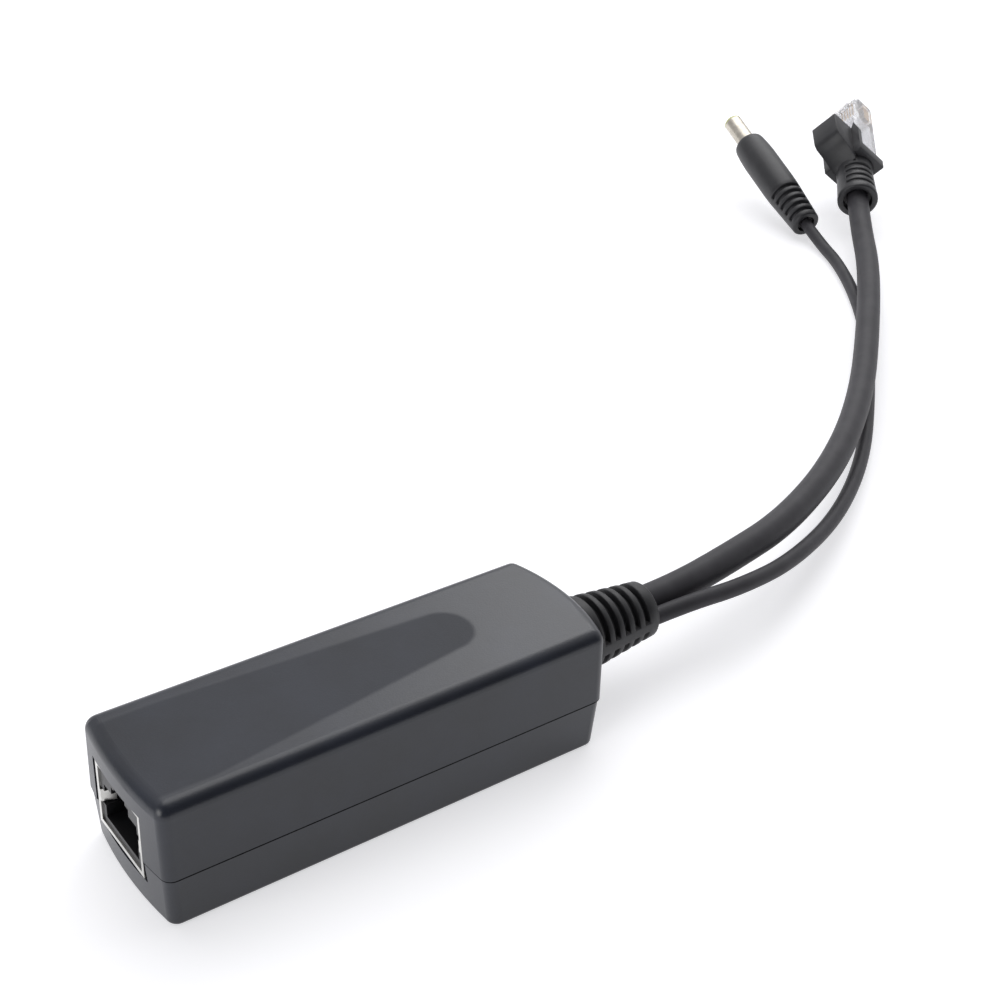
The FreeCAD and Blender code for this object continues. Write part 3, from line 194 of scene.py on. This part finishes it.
network_cord = lay_cord("network_cord", 6.2 * mm, [
    (0.0635, 0.00235, 0.013), (0.0725, 0.00235, 0.013), (0.0884, 0.0049, 0.0129),
    (0.1104, 0.0105, 0.0116), (0.1402, 0.0256, 0.0093), (0.1703, 0.0472, 0.0074),
    (0.2003, 0.0743, 0.0067), (0.2283, 0.1015, 0.0067), (0.24515, 0.121288, 0.007058),
    (0.254653, 0.133107, 0.011121)])
network_cord.data.materials.append(jacket)
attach(network_cord, "root")
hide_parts("ethernet_cable")

# Power cord: two wires in a thinner jacket of the same PVC, 3.4 mm across and 24 cm long. It lies
# beside the network cord and ends in the barrel plug's body.
power_cord = lay_cord("power_cord", 3.4 * mm, [
    (0.0635, -0.00255, 0.013), (0.0725, -0.00255, 0.013), (0.0852, -0.0028, 0.012),
    (0.1033, 0.0012, 0.0092), (0.1289, 0.0129, 0.0052), (0.1556, 0.0310, 0.0024),
    (0.1799, 0.0531, 0.0018), (0.2019, 0.0750, 0.0018), (0.2189, 0.0962, 0.0018),
    (0.2309, 0.1153, 0.0018), (0.235872, 0.127344, 0.001822), (0.238242, 0.137691, 0.005068)])
power_cord.data.materials.append(jacket)
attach(power_cord, "root")
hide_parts("dc_cable")

# Housing: two shells moulded in black ABS with a fine spark-eroded texture, closed along a
# tongue. The cover has a smoother top with a duller tongue-shaped field along it.
shell, tree, shader, place = started("spark_textured_abs", {"IOR": 1.52})
grit = add(tree, "TexNoise", {"Scale": 3000.0, "Detail": 2.0, "Roughness": 0.6}, {"Vector": place})
cloud = add(tree, "TexNoise", {"Scale": 70.0, "Detail": 4.0}, {"Vector": place})
tone = add(tree, "ValToRGB", {"stops": [(0.3, colour("#23262e")), (0.75, colour("#2d313c"))]},
           {0: cloud.outputs[0]})
spot = add(tree, "SeparateXYZ", {}, {0: place})
# painted shade: the gap between the shells and the two rims beside it lie in shadow, so a band from
# 10.1 to 10.6 mm up is painted near black, without specular
painted_seam_shade = add(tree, "Math", {"operation": "COMPARE", 1: 0.01035, 2: 0.00025}, {0: spot.outputs["Z"]})
tone = add(tree, "Mix", {"data_type": "RGBA", 7: colour("#050506")},
           {0: painted_seam_shade.outputs[0], 6: tone.outputs[0]})
# the field narrows from the jack's end to a round end about 21 mm short of the cords' end
along = add(tree, "MapRange", {"From Min": 0.018, "From Max": -0.032, "To Min": 0.0, "To Max": 1.0},
            {"Value": spot.outputs["X"]})
half = add(tree, "MapRange", {"To Min": 0.0057, "To Max": 0.0108}, {"Value": along.outputs[0]})
middle = add(tree, "MapRange", {"To Min": 0.0015, "To Max": -0.0004}, {"Value": along.outputs[0]})
aside = add(tree, "Math", {"operation": "SUBTRACT"}, {0: spot.outputs["Y"], 1: middle.outputs[0]})
ahead = add(tree, "MapRange", {"From Min": 0.018, "From Max": 0.058, "To Min": 0.0, "To Max": 0.04},
            {"Value": spot.outputs["X"]})
reach = add(tree, "CombineXYZ", {}, {"X": ahead.outputs[0], "Y": aside.outputs[0]})
away = add(tree, "VectorMath", {"operation": "LENGTH"}, {0: reach.outputs[0]})
past = add(tree, "Math", {"operation": "SUBTRACT"}, {0: away.outputs["Value"], 1: half.outputs[0]})
inside = add(tree, "MapRange", {"interpolation_type": "SMOOTHSTEP", "From Min": 0.0005,
                                "From Max": -0.0007}, {"Value": past.outputs[0]})
on_top = add(tree, "MapRange", {"From Min": 0.0245, "From Max": 0.0248},
             {"Value": spot.outputs["Z"]})
field = add(tree, "Math", {"operation": "MULTIPLY"}, {0: inside.outputs[0], 1: on_top.outputs[0]})
gloss = add(tree, "Mix", {"A": 0.29, "B": 0.6}, {"Factor": field.outputs[0]})
dull = add(tree, "MapRange", {"To Min": 0.0, "To Max": 0.06}, {"Value": grit.outputs[0]})
rough = add(tree, "Math", {"operation": "ADD"}, {0: gloss.outputs[0], 1: dull.outputs[0]})
# painted shade: the seam band gets no specular, as if no light reached it
shine = add(tree, "MapRange", {"To Min": 0.5, "To Max": 0.0}, {"Value": painted_seam_shade.outputs[0]})
relief = add(tree, "Bump", {"Strength": 0.35, "Distance": 0.00005}, {"Height": grit.outputs[0]})
tree.links.new(tone.outputs[2], shader.inputs["Base Color"])
tree.links.new(shine.outputs[0], shader.inputs["Specular IOR Level"])
tree.links.new(rough.outputs[0], shader.inputs["Roughness"])
tree.links.new(relief.outputs[0], shader.inputs["Normal"])
dress("top_shell", shell)
dress("bottom_shell", shell)

# Jack shield: a can folded from tinned sheet steel. Its turned-in front rim shows as a bright
# frame round the socket, and its two sprung fingers press on a shielded plug.
tinned, tree, shader, place = started("tinned_sheet_steel", {"Metallic": 1.0, "Roughness": 0.28})
smear = add(tree, "TexNoise", {"Scale": 420.0, "Detail": 4.0}, {"Vector": place})
tone = add(tree, "ValToRGB", {"stops": [(0.3, colour("#c9c8c4")), (0.7, colour("#e6e5e1"))]},
           {0: smear.outputs[0]})
dent = add(tree, "Bump", {"Strength": 0.3, "Distance": 0.00004}, {"Height": smear.outputs[0]})
tree.links.new(tone.outputs[0], shader.inputs["Base Color"])
tree.links.new(dent.outputs[0], shader.inputs["Normal"])
dress("jack_shield", tinned)

# Jack insert: a block moulded in black nylon that fills the shield, with the socket, the latch
# slot and the comb that keeps the contacts apart.
nylon, tree, shader, place = started("moulded_black_nylon", {"Roughness": 0.4, "IOR": 1.53})
cloud = add(tree, "TexNoise", {"Scale": 300.0, "Detail": 3.0}, {"Vector": place})
tone = add(tree, "ValToRGB", {"stops": [(0.3, colour("#141416")), (0.75, colour("#1e1e21"))]},
           {0: cloud.outputs[0]})
tree.links.new(tone.outputs[0], shader.inputs["Base Color"])
dress("jack_insert", nylon)

# Contacts of the jack and of the plug: phosphor bronze wires and blades, gold plated.
gold, tree, shader, place = started("gold_plated_bronze", {"Metallic": 1.0, "Roughness": 0.22})
smear = add(tree, "TexNoise", {"Scale": 900.0, "Detail": 2.0}, {"Vector": place})
tone = add(tree, "ValToRGB", {"stops": [(0.3, colour("#d9a441")), (0.7, colour("#f0c766"))]},
           {0: smear.outputs[0]})
tree.links.new(tone.outputs[0], shader.inputs["Base Color"])
dress("jack_contacts", gold)
dress("plug_contacts", gold)

# Strain relief: soft black PVC, duller than the cords' jackets. It is ringed so that it bends,
# and its flange sits behind the end wall. Both cords start at its tip.
soft, tree, shader, place = started("overmoulded_soft_pvc", {"Roughness": 0.52, "IOR": 1.53})
cloud = add(tree, "TexNoise", {"Scale": 210.0, "Detail": 4.0}, {"Vector": place})
tone = add(tree, "ValToRGB", {"stops": [(0.3, colour("#1b1b1e")), (0.75, colour("#27272a"))]},
           {0: cloud.outputs[0]})
grain = add(tree, "TexNoise", {"Scale": 2400.0, "Detail": 2.0}, {"Vector": place})
relief = add(tree, "Bump", {"Strength": 0.3, "Distance": 0.00005}, {"Height": grain.outputs[0]})
tree.links.new(tone.outputs[0], shader.inputs["Base Color"])
tree.links.new(relief.outputs[0], shader.inputs["Normal"])


def turned(name, profile, slices):
    """A moulding built ring by ring along X from (distance, radius) pairs in millimetres."""
    bpy.ops.object.select_all(action="DESELECT")
    bpy.ops.mesh.primitive_circle_add(vertices=slices, radius=profile[0][1] * mm,
                                      fill_type="NGON", rotation=(0, math.pi / 2, 0))
    made = bpy.context.object
    made.name = made.data.name = name
    bpy.ops.object.transform_apply(location=True, rotation=True, scale=True)
    bpy.ops.object.mode_set(mode="EDIT")
    bpy.ops.mesh.select_all(action="SELECT")
    bpy.ops.transform.translate(value=(profile[0][0] * mm, 0, 0))
    for (start, before), (end, after) in zip(profile, profile[1:]):
        bpy.ops.mesh.extrude_region_move(
            TRANSFORM_OT_translate={"value": ((end - start) * mm, 0, 0)})
        swell = after / before
        bpy.ops.transform.resize(value=(1, swell, swell), center_override=(end * mm, 0, 0))
    bpy.ops.mesh.select_all(action="SELECT")
    bpy.ops.mesh.normals_make_consistent(inside=False)
    bpy.ops.object.mode_set(mode="OBJECT")
    return made


def picked(made, wanted):
    """Goes into edit mode with only the faces selected that fit, with face selection on."""
    bpy.context.view_layer.objects.active = made
    bpy.ops.object.mode_set(mode="EDIT")
    bpy.ops.mesh.select_mode(type="FACE")
    bpy.ops.mesh.select_all(action="DESELECT")
    bpy.ops.object.mode_set(mode="OBJECT")
    for face in made.data.polygons:
        face.select = wanted(face)
    bpy.ops.object.mode_set(mode="EDIT")


def grooved(made, starts, width, depth, bridge, tilt=0.0):
    """Presses ring grooves into a turned piece, left out over a bridge on each of its sides."""
    for start in starts:
        def wanted(face):
            middle = face.center
            angle = math.degrees(math.atan2(middle.z, middle.y)) - tilt
            off_side = abs((angle + 90) % 180 - 90)
            return (start < middle.x / mm < start + width and off_side > bridge / 2
                    and abs(face.normal.x) < 0.7)

        picked(made, wanted)
        bpy.ops.object.mode_set(mode="OBJECT")
        radius = max(math.hypot(face.center.y, face.center.z)
                     for face in made.data.polygons if face.select)
        shrink = 1 - depth * mm / radius
        bpy.ops.object.mode_set(mode="EDIT")
        bpy.ops.mesh.extrude_region_move(TRANSFORM_OT_translate={"value": (0, 0, 0)})
        bpy.ops.transform.resize(value=(1, shrink, shrink), center_override=(0, 0, 0))
        bpy.ops.object.mode_set(mode="OBJECT")


def softened(made, width, sharp=35):
    """Rounds a moulding's sharp edges a little and shades it smooth between those that stay."""
    bpy.ops.object.select_all(action="DESELECT")
    made.select_set(True)
    bpy.context.view_layer.objects.active = made
    edge = made.modifiers.new("edges", "BEVEL")
    edge.width, edge.segments, edge.limit_method = width * mm, 2, "ANGLE"
    edge.angle_limit = math.radians(sharp)
    edge.use_clamp_overlap = True
    bpy.ops.object.modifier_apply(modifier="edges")
    bpy.ops.object.shade_smooth_by_angle(angle=math.radians(50))


GROOVES = [4.6 + 2.6 * n for n in range(5)]
profile = [(-5.6, 8.2), (-3.8, 8.2), (-3.79, 6.2), (0.11, 6.2), (0.12, 7.4), (4.0, 7.14)]
profile += [(x, 7.1 - 0.1154 * (x - 4.6)) for start in GROOVES for x in (start, start + 1.3)]
profile += [(18.5, 5.5), (19.0, 5.1)]
relief_piece = turned("strain_relief_moulding", profile, 72)
grooved(relief_piece, GROOVES, 1.3, 1.5, 19)
softened(relief_piece, 0.22)
relief_root = (0.044495, 0.0008, 0.013)
relief_piece.data.transform(Matrix.Translation(relief_root))
relief_piece.data.materials.append(soft)
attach(relief_piece, "root")
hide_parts("strain_relief")

# Modular plug's boot: greyer PVC, with the cord's end in its hollow tail. A ringed
# tail runs into a square collar, with a raised hood and two prongs over the plug's latch.
grey, tree, shader, place = started("overmoulded_grey_pvc", {"Roughness": 0.45, "IOR": 1.53})
cloud = add(tree, "TexNoise", {"Scale": 230.0, "Detail": 4.0}, {"Vector": place})
tone = add(tree, "ValToRGB", {"stops": [(0.3, colour("#29292c")), (0.75, colour("#353538"))]},
           {0: cloud.outputs[0]})
grain = add(tree, "TexNoise", {"Scale": 2400.0, "Detail": 2.0}, {"Vector": place})
relief = add(tree, "Bump", {"Strength": 0.3, "Distance": 0.00005}, {"Height": grain.outputs[0]})
tree.links.new(tone.outputs[0], shader.inputs["Base Color"])
tree.links.new(relief.outputs[0], shader.inputs["Normal"])

GROOVES = [2.7 + 2.7 * n for n in range(4)]
profile = [(0, 5.7), (0.5, 5.95), (1.4, 5.95)]
profile += [(x, 5.93 - 0.045 * x) for start in GROOVES for x in (start, start + 1.15)]
profile += [(12.6, 5.5), (14.0, 5.6), (16.0, 5.9)]
boot_piece = turned("plug_boot_moulding", profile, 64)
grooved(boot_piece, GROOVES, 1.15, 0.55, 84, tilt=52)
picked(boot_piece, lambda face: face.normal.x < -0.9 and face.center.x < 0.0001)
bpy.ops.mesh.inset(thickness=1.5 * mm)
bpy.ops.mesh.extrude_region_move(TRANSFORM_OT_translate={"value": (2.4 * mm, 0, 0)})
bpy.ops.object.mode_set(mode="OBJECT")
softened(boot_piece, 0.25)


def drawn(name, outline, low, high, upward=False, round_by=0.0):
    """A straight-sided block in millimetres: an outline in X and Z drawn along Y, or, when it
    is drawn upward, an outline in X and Y drawn along Z."""
    bpy.ops.object.select_all(action="DESELECT")
    bpy.ops.mesh.primitive_circle_add(vertices=len(outline), fill_type="NGON")
    made = bpy.context.object
    made.name = made.data.name = name
    for corner, (x, side) in zip(made.data.vertices, outline):
        corner.co = Vector((x, side, low) if upward else (x, low, side)) * mm
    rise = (high - low) * mm
    bpy.ops.object.mode_set(mode="EDIT")
    bpy.ops.mesh.select_all(action="SELECT")
    bpy.ops.mesh.extrude_region_move(
        TRANSFORM_OT_translate={"value": (0, 0, rise) if upward else (0, rise, 0)})
    bpy.ops.mesh.select_all(action="SELECT")
    bpy.ops.mesh.normals_make_consistent(inside=False)
    bpy.ops.object.mode_set(mode="OBJECT")
    if round_by:
        softened(made, round_by)
    return made


def combined(made, other, how):
    """Joins another closed piece to a piece, or cuts it out, and takes the other one away."""
    bpy.context.view_layer.objects.active = made
    step = made.modifiers.new("combined", "BOOLEAN")
    step.operation, step.solver, step.object = how, "EXACT", other
    bpy.ops.object.modifier_apply(modifier="combined")
    bpy.data.objects.remove(other)


collar = drawn("collar", [(15.0, -5.5), (18.7, -5.5), (18.7, 5.5), (15.0, 5.5)], -7.0, 7.0,
               round_by=0.4)
prongs = drawn("prongs", [(17.5, -6.9), (25.0, -6.9), (29.4, -5.4), (27.3, -4.5), (27.3, 4.5),
                          (29.4, 5.4), (25.0, 6.9), (17.5, 6.9)], 4.07, 5.46, upward=True)
hood = drawn("hood", [(12.8, 4.6), (27.4, 4.3), (27.4, 12.9), (27.0, 13.3), (19.8, 12.8),
                      (18.2, 12.0), (16.9, 9.6), (15.6, 7.4), (14.2, 6.1)], -4.45, 4.45,
             round_by=0.7)
room = drawn("hood_room", [(19.0, 4.05), (29.0, 4.05), (29.0, 11.5), (19.0, 11.3)], -3.25, 3.25)
combined(boot_piece, collar, "UNION")
combined(boot_piece, prongs, "UNION")
combined(boot_piece, hood, "UNION")
combined(boot_piece, room, "DIFFERENCE")
bpy.context.view_layer.objects.active = boot_piece
boot_piece.select_set(True)
bpy.ops.object.shade_smooth_by_angle(angle=math.radians(40))
boot_end = (0.2532, 0.1313, 0.0105)
roll, pitch, yaw = -49.2, -15.0, 51.2
boot_piece.data.transform(Matrix.Translation(boot_end) @ Euler(
    (math.radians(roll), math.radians(pitch), math.radians(yaw))).to_matrix().to_4x4())
boot_piece.data.materials.clear()
boot_piece.data.materials.append(grey)
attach(boot_piece, "root")
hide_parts("plug_boot")

# Barrel plug: a body of the boot's grey PVC with rings at its tail, a nickel-plated sleeve, a pale
# yellow-green insulating liner that shows at the tip, and a sprung contact inside.
GROOVES = [1.8 + 2.6 * n for n in range(5)]
profile = [(0, 3.9), (0.4, 4.2), (1.2, 4.26)]
profile += [(x, 4.2 + 0.061 * x) for start in GROOVES for x in (start, start + 1.3)]
profile += [(15.0, 5.12), (18.0, 5.2), (31.0, 5.2), (35.0, 5.0), (37.6, 4.75), (38.4, 4.55),
            (38.8, 4.25), (39.0, 3.8)]
body_piece = turned("barrel_plug_body", profile, 64)
grooved(body_piece, GROOVES, 1.3, 1.0, 50, tilt=-25)
picked(body_piece, lambda face: face.normal.x < -0.9 and face.center.x < 0.0001)
bpy.ops.mesh.inset(thickness=1.3 * mm)
bpy.ops.mesh.extrude_region_move(TRANSFORM_OT_translate={"value": (1.6 * mm, 0, 0)})
bpy.ops.object.mode_set(mode="OBJECT")
softened(body_piece, 0.2)
body_end = (0.2379, 0.1362, 0.0046)
pitch, yaw = -17.0, 77.1
body_piece.data.transform(Matrix.Translation(body_end) @ Euler(
    (0, math.radians(pitch), math.radians(yaw))).to_matrix().to_4x4())
body_piece.data.materials.append(grey)
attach(body_piece, "root")
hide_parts("dc_plug_body")

nickel, tree, shader, place = started("nickel_plated_brass", {"Metallic": 1.0, "Roughness": 0.36})
smear = add(tree, "TexNoise", {"Scale": 600.0, "Detail": 3.0}, {"Vector": place})
tone = add(tree, "ValToRGB", {"stops": [(0.3, colour("#bcb6aa")), (0.7, colour("#d6d0c4"))]},
           {0: smear.outputs[0]})
tree.links.new(tone.outputs[0], shader.inputs["Base Color"])
dress("dc_plug_barrel", nickel)
dress("dc_plug_contact", nickel)

acetal, tree, shader, place = started("moulded_acetal", {"Roughness": 0.35, "IOR": 1.48})
cloud = add(tree, "TexNoise", {"Scale": 500.0, "Detail": 2.0}, {"Vector": place})
tone = add(tree, "ValToRGB", {"stops": [(0.3, colour("#cfd47e")), (0.7, colour("#dfe398"))]},
           {0: cloud.outputs[0]})
tree.links.new(tone.outputs[0], shader.inputs["Base Color"])
dress("dc_plug_liner", acetal)

# Modular plug: clear polycarbonate, moulded, with the wires and blades showing through it.
clear, tree, shader, place = started("clear_polycarbonate", {
    "Base Color": colour("#fbfbfd"), "IOR": 1.585, "Transmission Weight": 0.82})
haze = add(tree, "TexNoise", {"Scale": 350.0, "Detail": 3.0}, {"Vector": place})
rough = add(tree, "MapRange", {"To Min": 0.08, "To Max": 0.2}, {"Value": haze.outputs[0]})
tree.links.new(rough.outputs[0], shader.inputs["Roughness"])
dress("plug_housing", clear)

# Circuit board: glass epoxy under green solder mask.
mask, tree, shader, place = started("solder_mask_on_glass_epoxy", {"Roughness": 0.3, "IOR": 1.55})
weave = add(tree, "TexWave", {"Scale": 420.0, "Distortion": 0.4}, {"Vector": place})
tone = add(tree, "ValToRGB", {"stops": [(0.2, colour("#135c33")), (0.8, colour("#186b3c"))]},
           {0: weave.outputs[0]})
tree.links.new(tone.outputs[0], shader.inputs["Base Color"])
dress("circuit_board", mask)

# Moulded packages: black epoxy with a fine matt grain, on bent leads of tinned copper.
epoxy, tree, shader, place = started("moulded_epoxy", {"Roughness": 0.6, "IOR": 1.55})
grit = add(tree, "TexNoise", {"Scale": 2800.0, "Detail": 2.0}, {"Vector": place})
tone = add(tree, "ValToRGB", {"stops": [(0.3, colour("#1c1c1e")), (0.75, colour("#28282a"))]},
           {0: grit.outputs[0]})
relief = add(tree, "Bump", {"Strength": 0.3, "Distance": 0.00003}, {"Height": grit.outputs[0]})
tree.links.new(tone.outputs[0], shader.inputs["Base Color"])
tree.links.new(relief.outputs[0], shader.inputs["Normal"])
for node in ("magnetics_module", "bridge_rectifiers", "controller_chip", "power_transistor",
             "feedback_coupler", "output_diode"):
    dress(node, epoxy)

solder, tree, shader, place = started("tinned_copper", {"Metallic": 1.0, "Roughness": 0.32})
smear = add(tree, "TexNoise", {"Scale": 1200.0, "Detail": 2.0}, {"Vector": place})
tone = add(tree, "ValToRGB", {"stops": [(0.3, colour("#bdbdba")), (0.7, colour("#dcdcd8"))]},
           {0: smear.outputs[0]})
tree.links.new(tone.outputs[0], shader.inputs["Base Color"])
for node in ("magnetics_leads", "bridge_leads", "controller_leads", "coupler_leads",
             "transformer_pins"):
    dress(node, solder)

# Electrolytic capacitors: aluminium cans in a shrunk dark blue sleeve, bare metal on top.
sleeve, tree, shader, place = started("sleeved_aluminium_can", {})
spot = add(tree, "SeparateXYZ", {}, {0: place})
bare = add(tree, "MapRange", {"From Min": 0.01755, "From Max": 0.0177},
           {"Value": spot.outputs["Z"]})
cloud = add(tree, "TexNoise", {"Scale": 400.0, "Detail": 2.0}, {"Vector": place})
blue = add(tree, "ValToRGB", {"stops": [(0.3, colour("#151c3a")), (0.7, colour("#1c2548"))]},
           {0: cloud.outputs[0]})
tone = add(tree, "Mix", {"data_type": "RGBA", 7: colour("#cfd0d2")},
           {0: bare.outputs[0], 6: blue.outputs[0]})
tree.links.new(tone.outputs[2], shader.inputs["Base Color"])
tree.links.new(bare.outputs[0], shader.inputs["Metallic"])
shader.inputs["Roughness"].default_value = 0.3
dress("input_capacitor", sleeve)
dress("output_capacitor", sleeve)

# Transformer and coil: ground grey ferrite, a black phenolic bobbin and a winding wrapped in
# yellow polyester tape.
ferrite, tree, shader, place = started("ground_ferrite", {"Roughness": 0.5, "IOR": 2.3})
grind = add(tree, "TexNoise", {"Scale": 1500.0, "Detail": 3.0}, {"Vector": place})
tone = add(tree, "ValToRGB", {"stops": [(0.3, colour("#38383a")), (0.7, colour("#4a4a4c"))]},
           {0: grind.outputs[0]})
tree.links.new(tone.outputs[0], shader.inputs["Base Color"])
dress("transformer_core", ferrite)
dress("output_inductor", ferrite)

phenolic, tree, shader, place = started("moulded_phenolic", {"Roughness": 0.45, "IOR": 1.6})
cloud = add(tree, "TexNoise", {"Scale": 600.0, "Detail": 3.0}, {"Vector": place})
tone = add(tree, "ValToRGB", {"stops": [(0.3, colour("#1d1714")), (0.7, colour("#2a221d"))]},
           {0: cloud.outputs[0]})
tree.links.new(tone.outputs[0], shader.inputs["Base Color"])
dress("transformer_bobbin", phenolic)

tape, tree, shader, place = started("polyester_tape", {"Roughness": 0.25, "IOR": 1.6})
wrap = add(tree, "TexWave", {"Scale": 150.0, "Distortion": 1.0, "bands_direction": "Z"},
           {"Vector": place})
tone = add(tree, "ValToRGB", {"stops": [(0.1, colour("#caa21c")), (0.9, colour("#e0bc38"))]},
           {0: wrap.outputs[0]})
tree.links.new(tone.outputs[0], shader.inputs["Base Color"])
dress("transformer_winding", tape)

# Chip resistors and capacitors: tan fired ceramic with tinned ends.
ceramic, tree, shader, place = started("fired_ceramic_chip", {"Roughness": 0.45, "IOR": 1.6})
cloud = add(tree, "TexNoise", {"Scale": 900.0, "Detail": 2.0}, {"Vector": place})
tone = add(tree, "ValToRGB", {"stops": [(0.3, colour("#8d7350")), (0.7, colour("#a68a63"))]},
           {0: cloud.outputs[0]})
tree.links.new(tone.outputs[0], shader.inputs["Base Color"])
dress("chip_components", ceramic)

# Wires from the cords to the board: PVC insulation, in the pair colours for the network and in
# red and black for the power.
skins, tree, shader, place = started("coloured_wire_pvc", {"Roughness": 0.4, "IOR": 1.53})
spot = add(tree, "SeparateXYZ", {}, {0: place})
across = add(tree, "MapRange", {"From Min": -0.0042, "From Max": 0.0058},
             {"Value": spot.outputs["Y"]})
tone = add(tree, "ValToRGB", {"stops": [
    (0.0, colour("#c8641e")), (0.25, colour("#e8e4dc")), (0.4, colour("#2c5aa8")),
    (0.6, colour("#2f8a4a")), (0.75, colour("#e8e4dc")), (1.0, colour("#6b4226"))]},
    {0: across.outputs[0]})
tone.color_ramp.interpolation = "CONSTANT"
tree.links.new(tone.outputs[0], shader.inputs["Base Color"])
dress("network_wires", skins)

pair, tree, shader, place = started("red_and_black_wire_pvc", {"Roughness": 0.4, "IOR": 1.53})
spot = add(tree, "SeparateXYZ", {}, {0: place})
nearer = add(tree, "MapRange", {"From Min": -0.0050, "From Max": -0.0045},
             {"Value": spot.outputs["Y"]})
tone = add(tree, "ValToRGB", {"stops": [(0.4, colour("#1c1c1e")), (0.6, colour("#a81c18"))]},
           {0: nearer.outputs[0]})
tree.links.new(tone.outputs[0], shader.inputs["Base Color"])
dress("power_wires", pair)
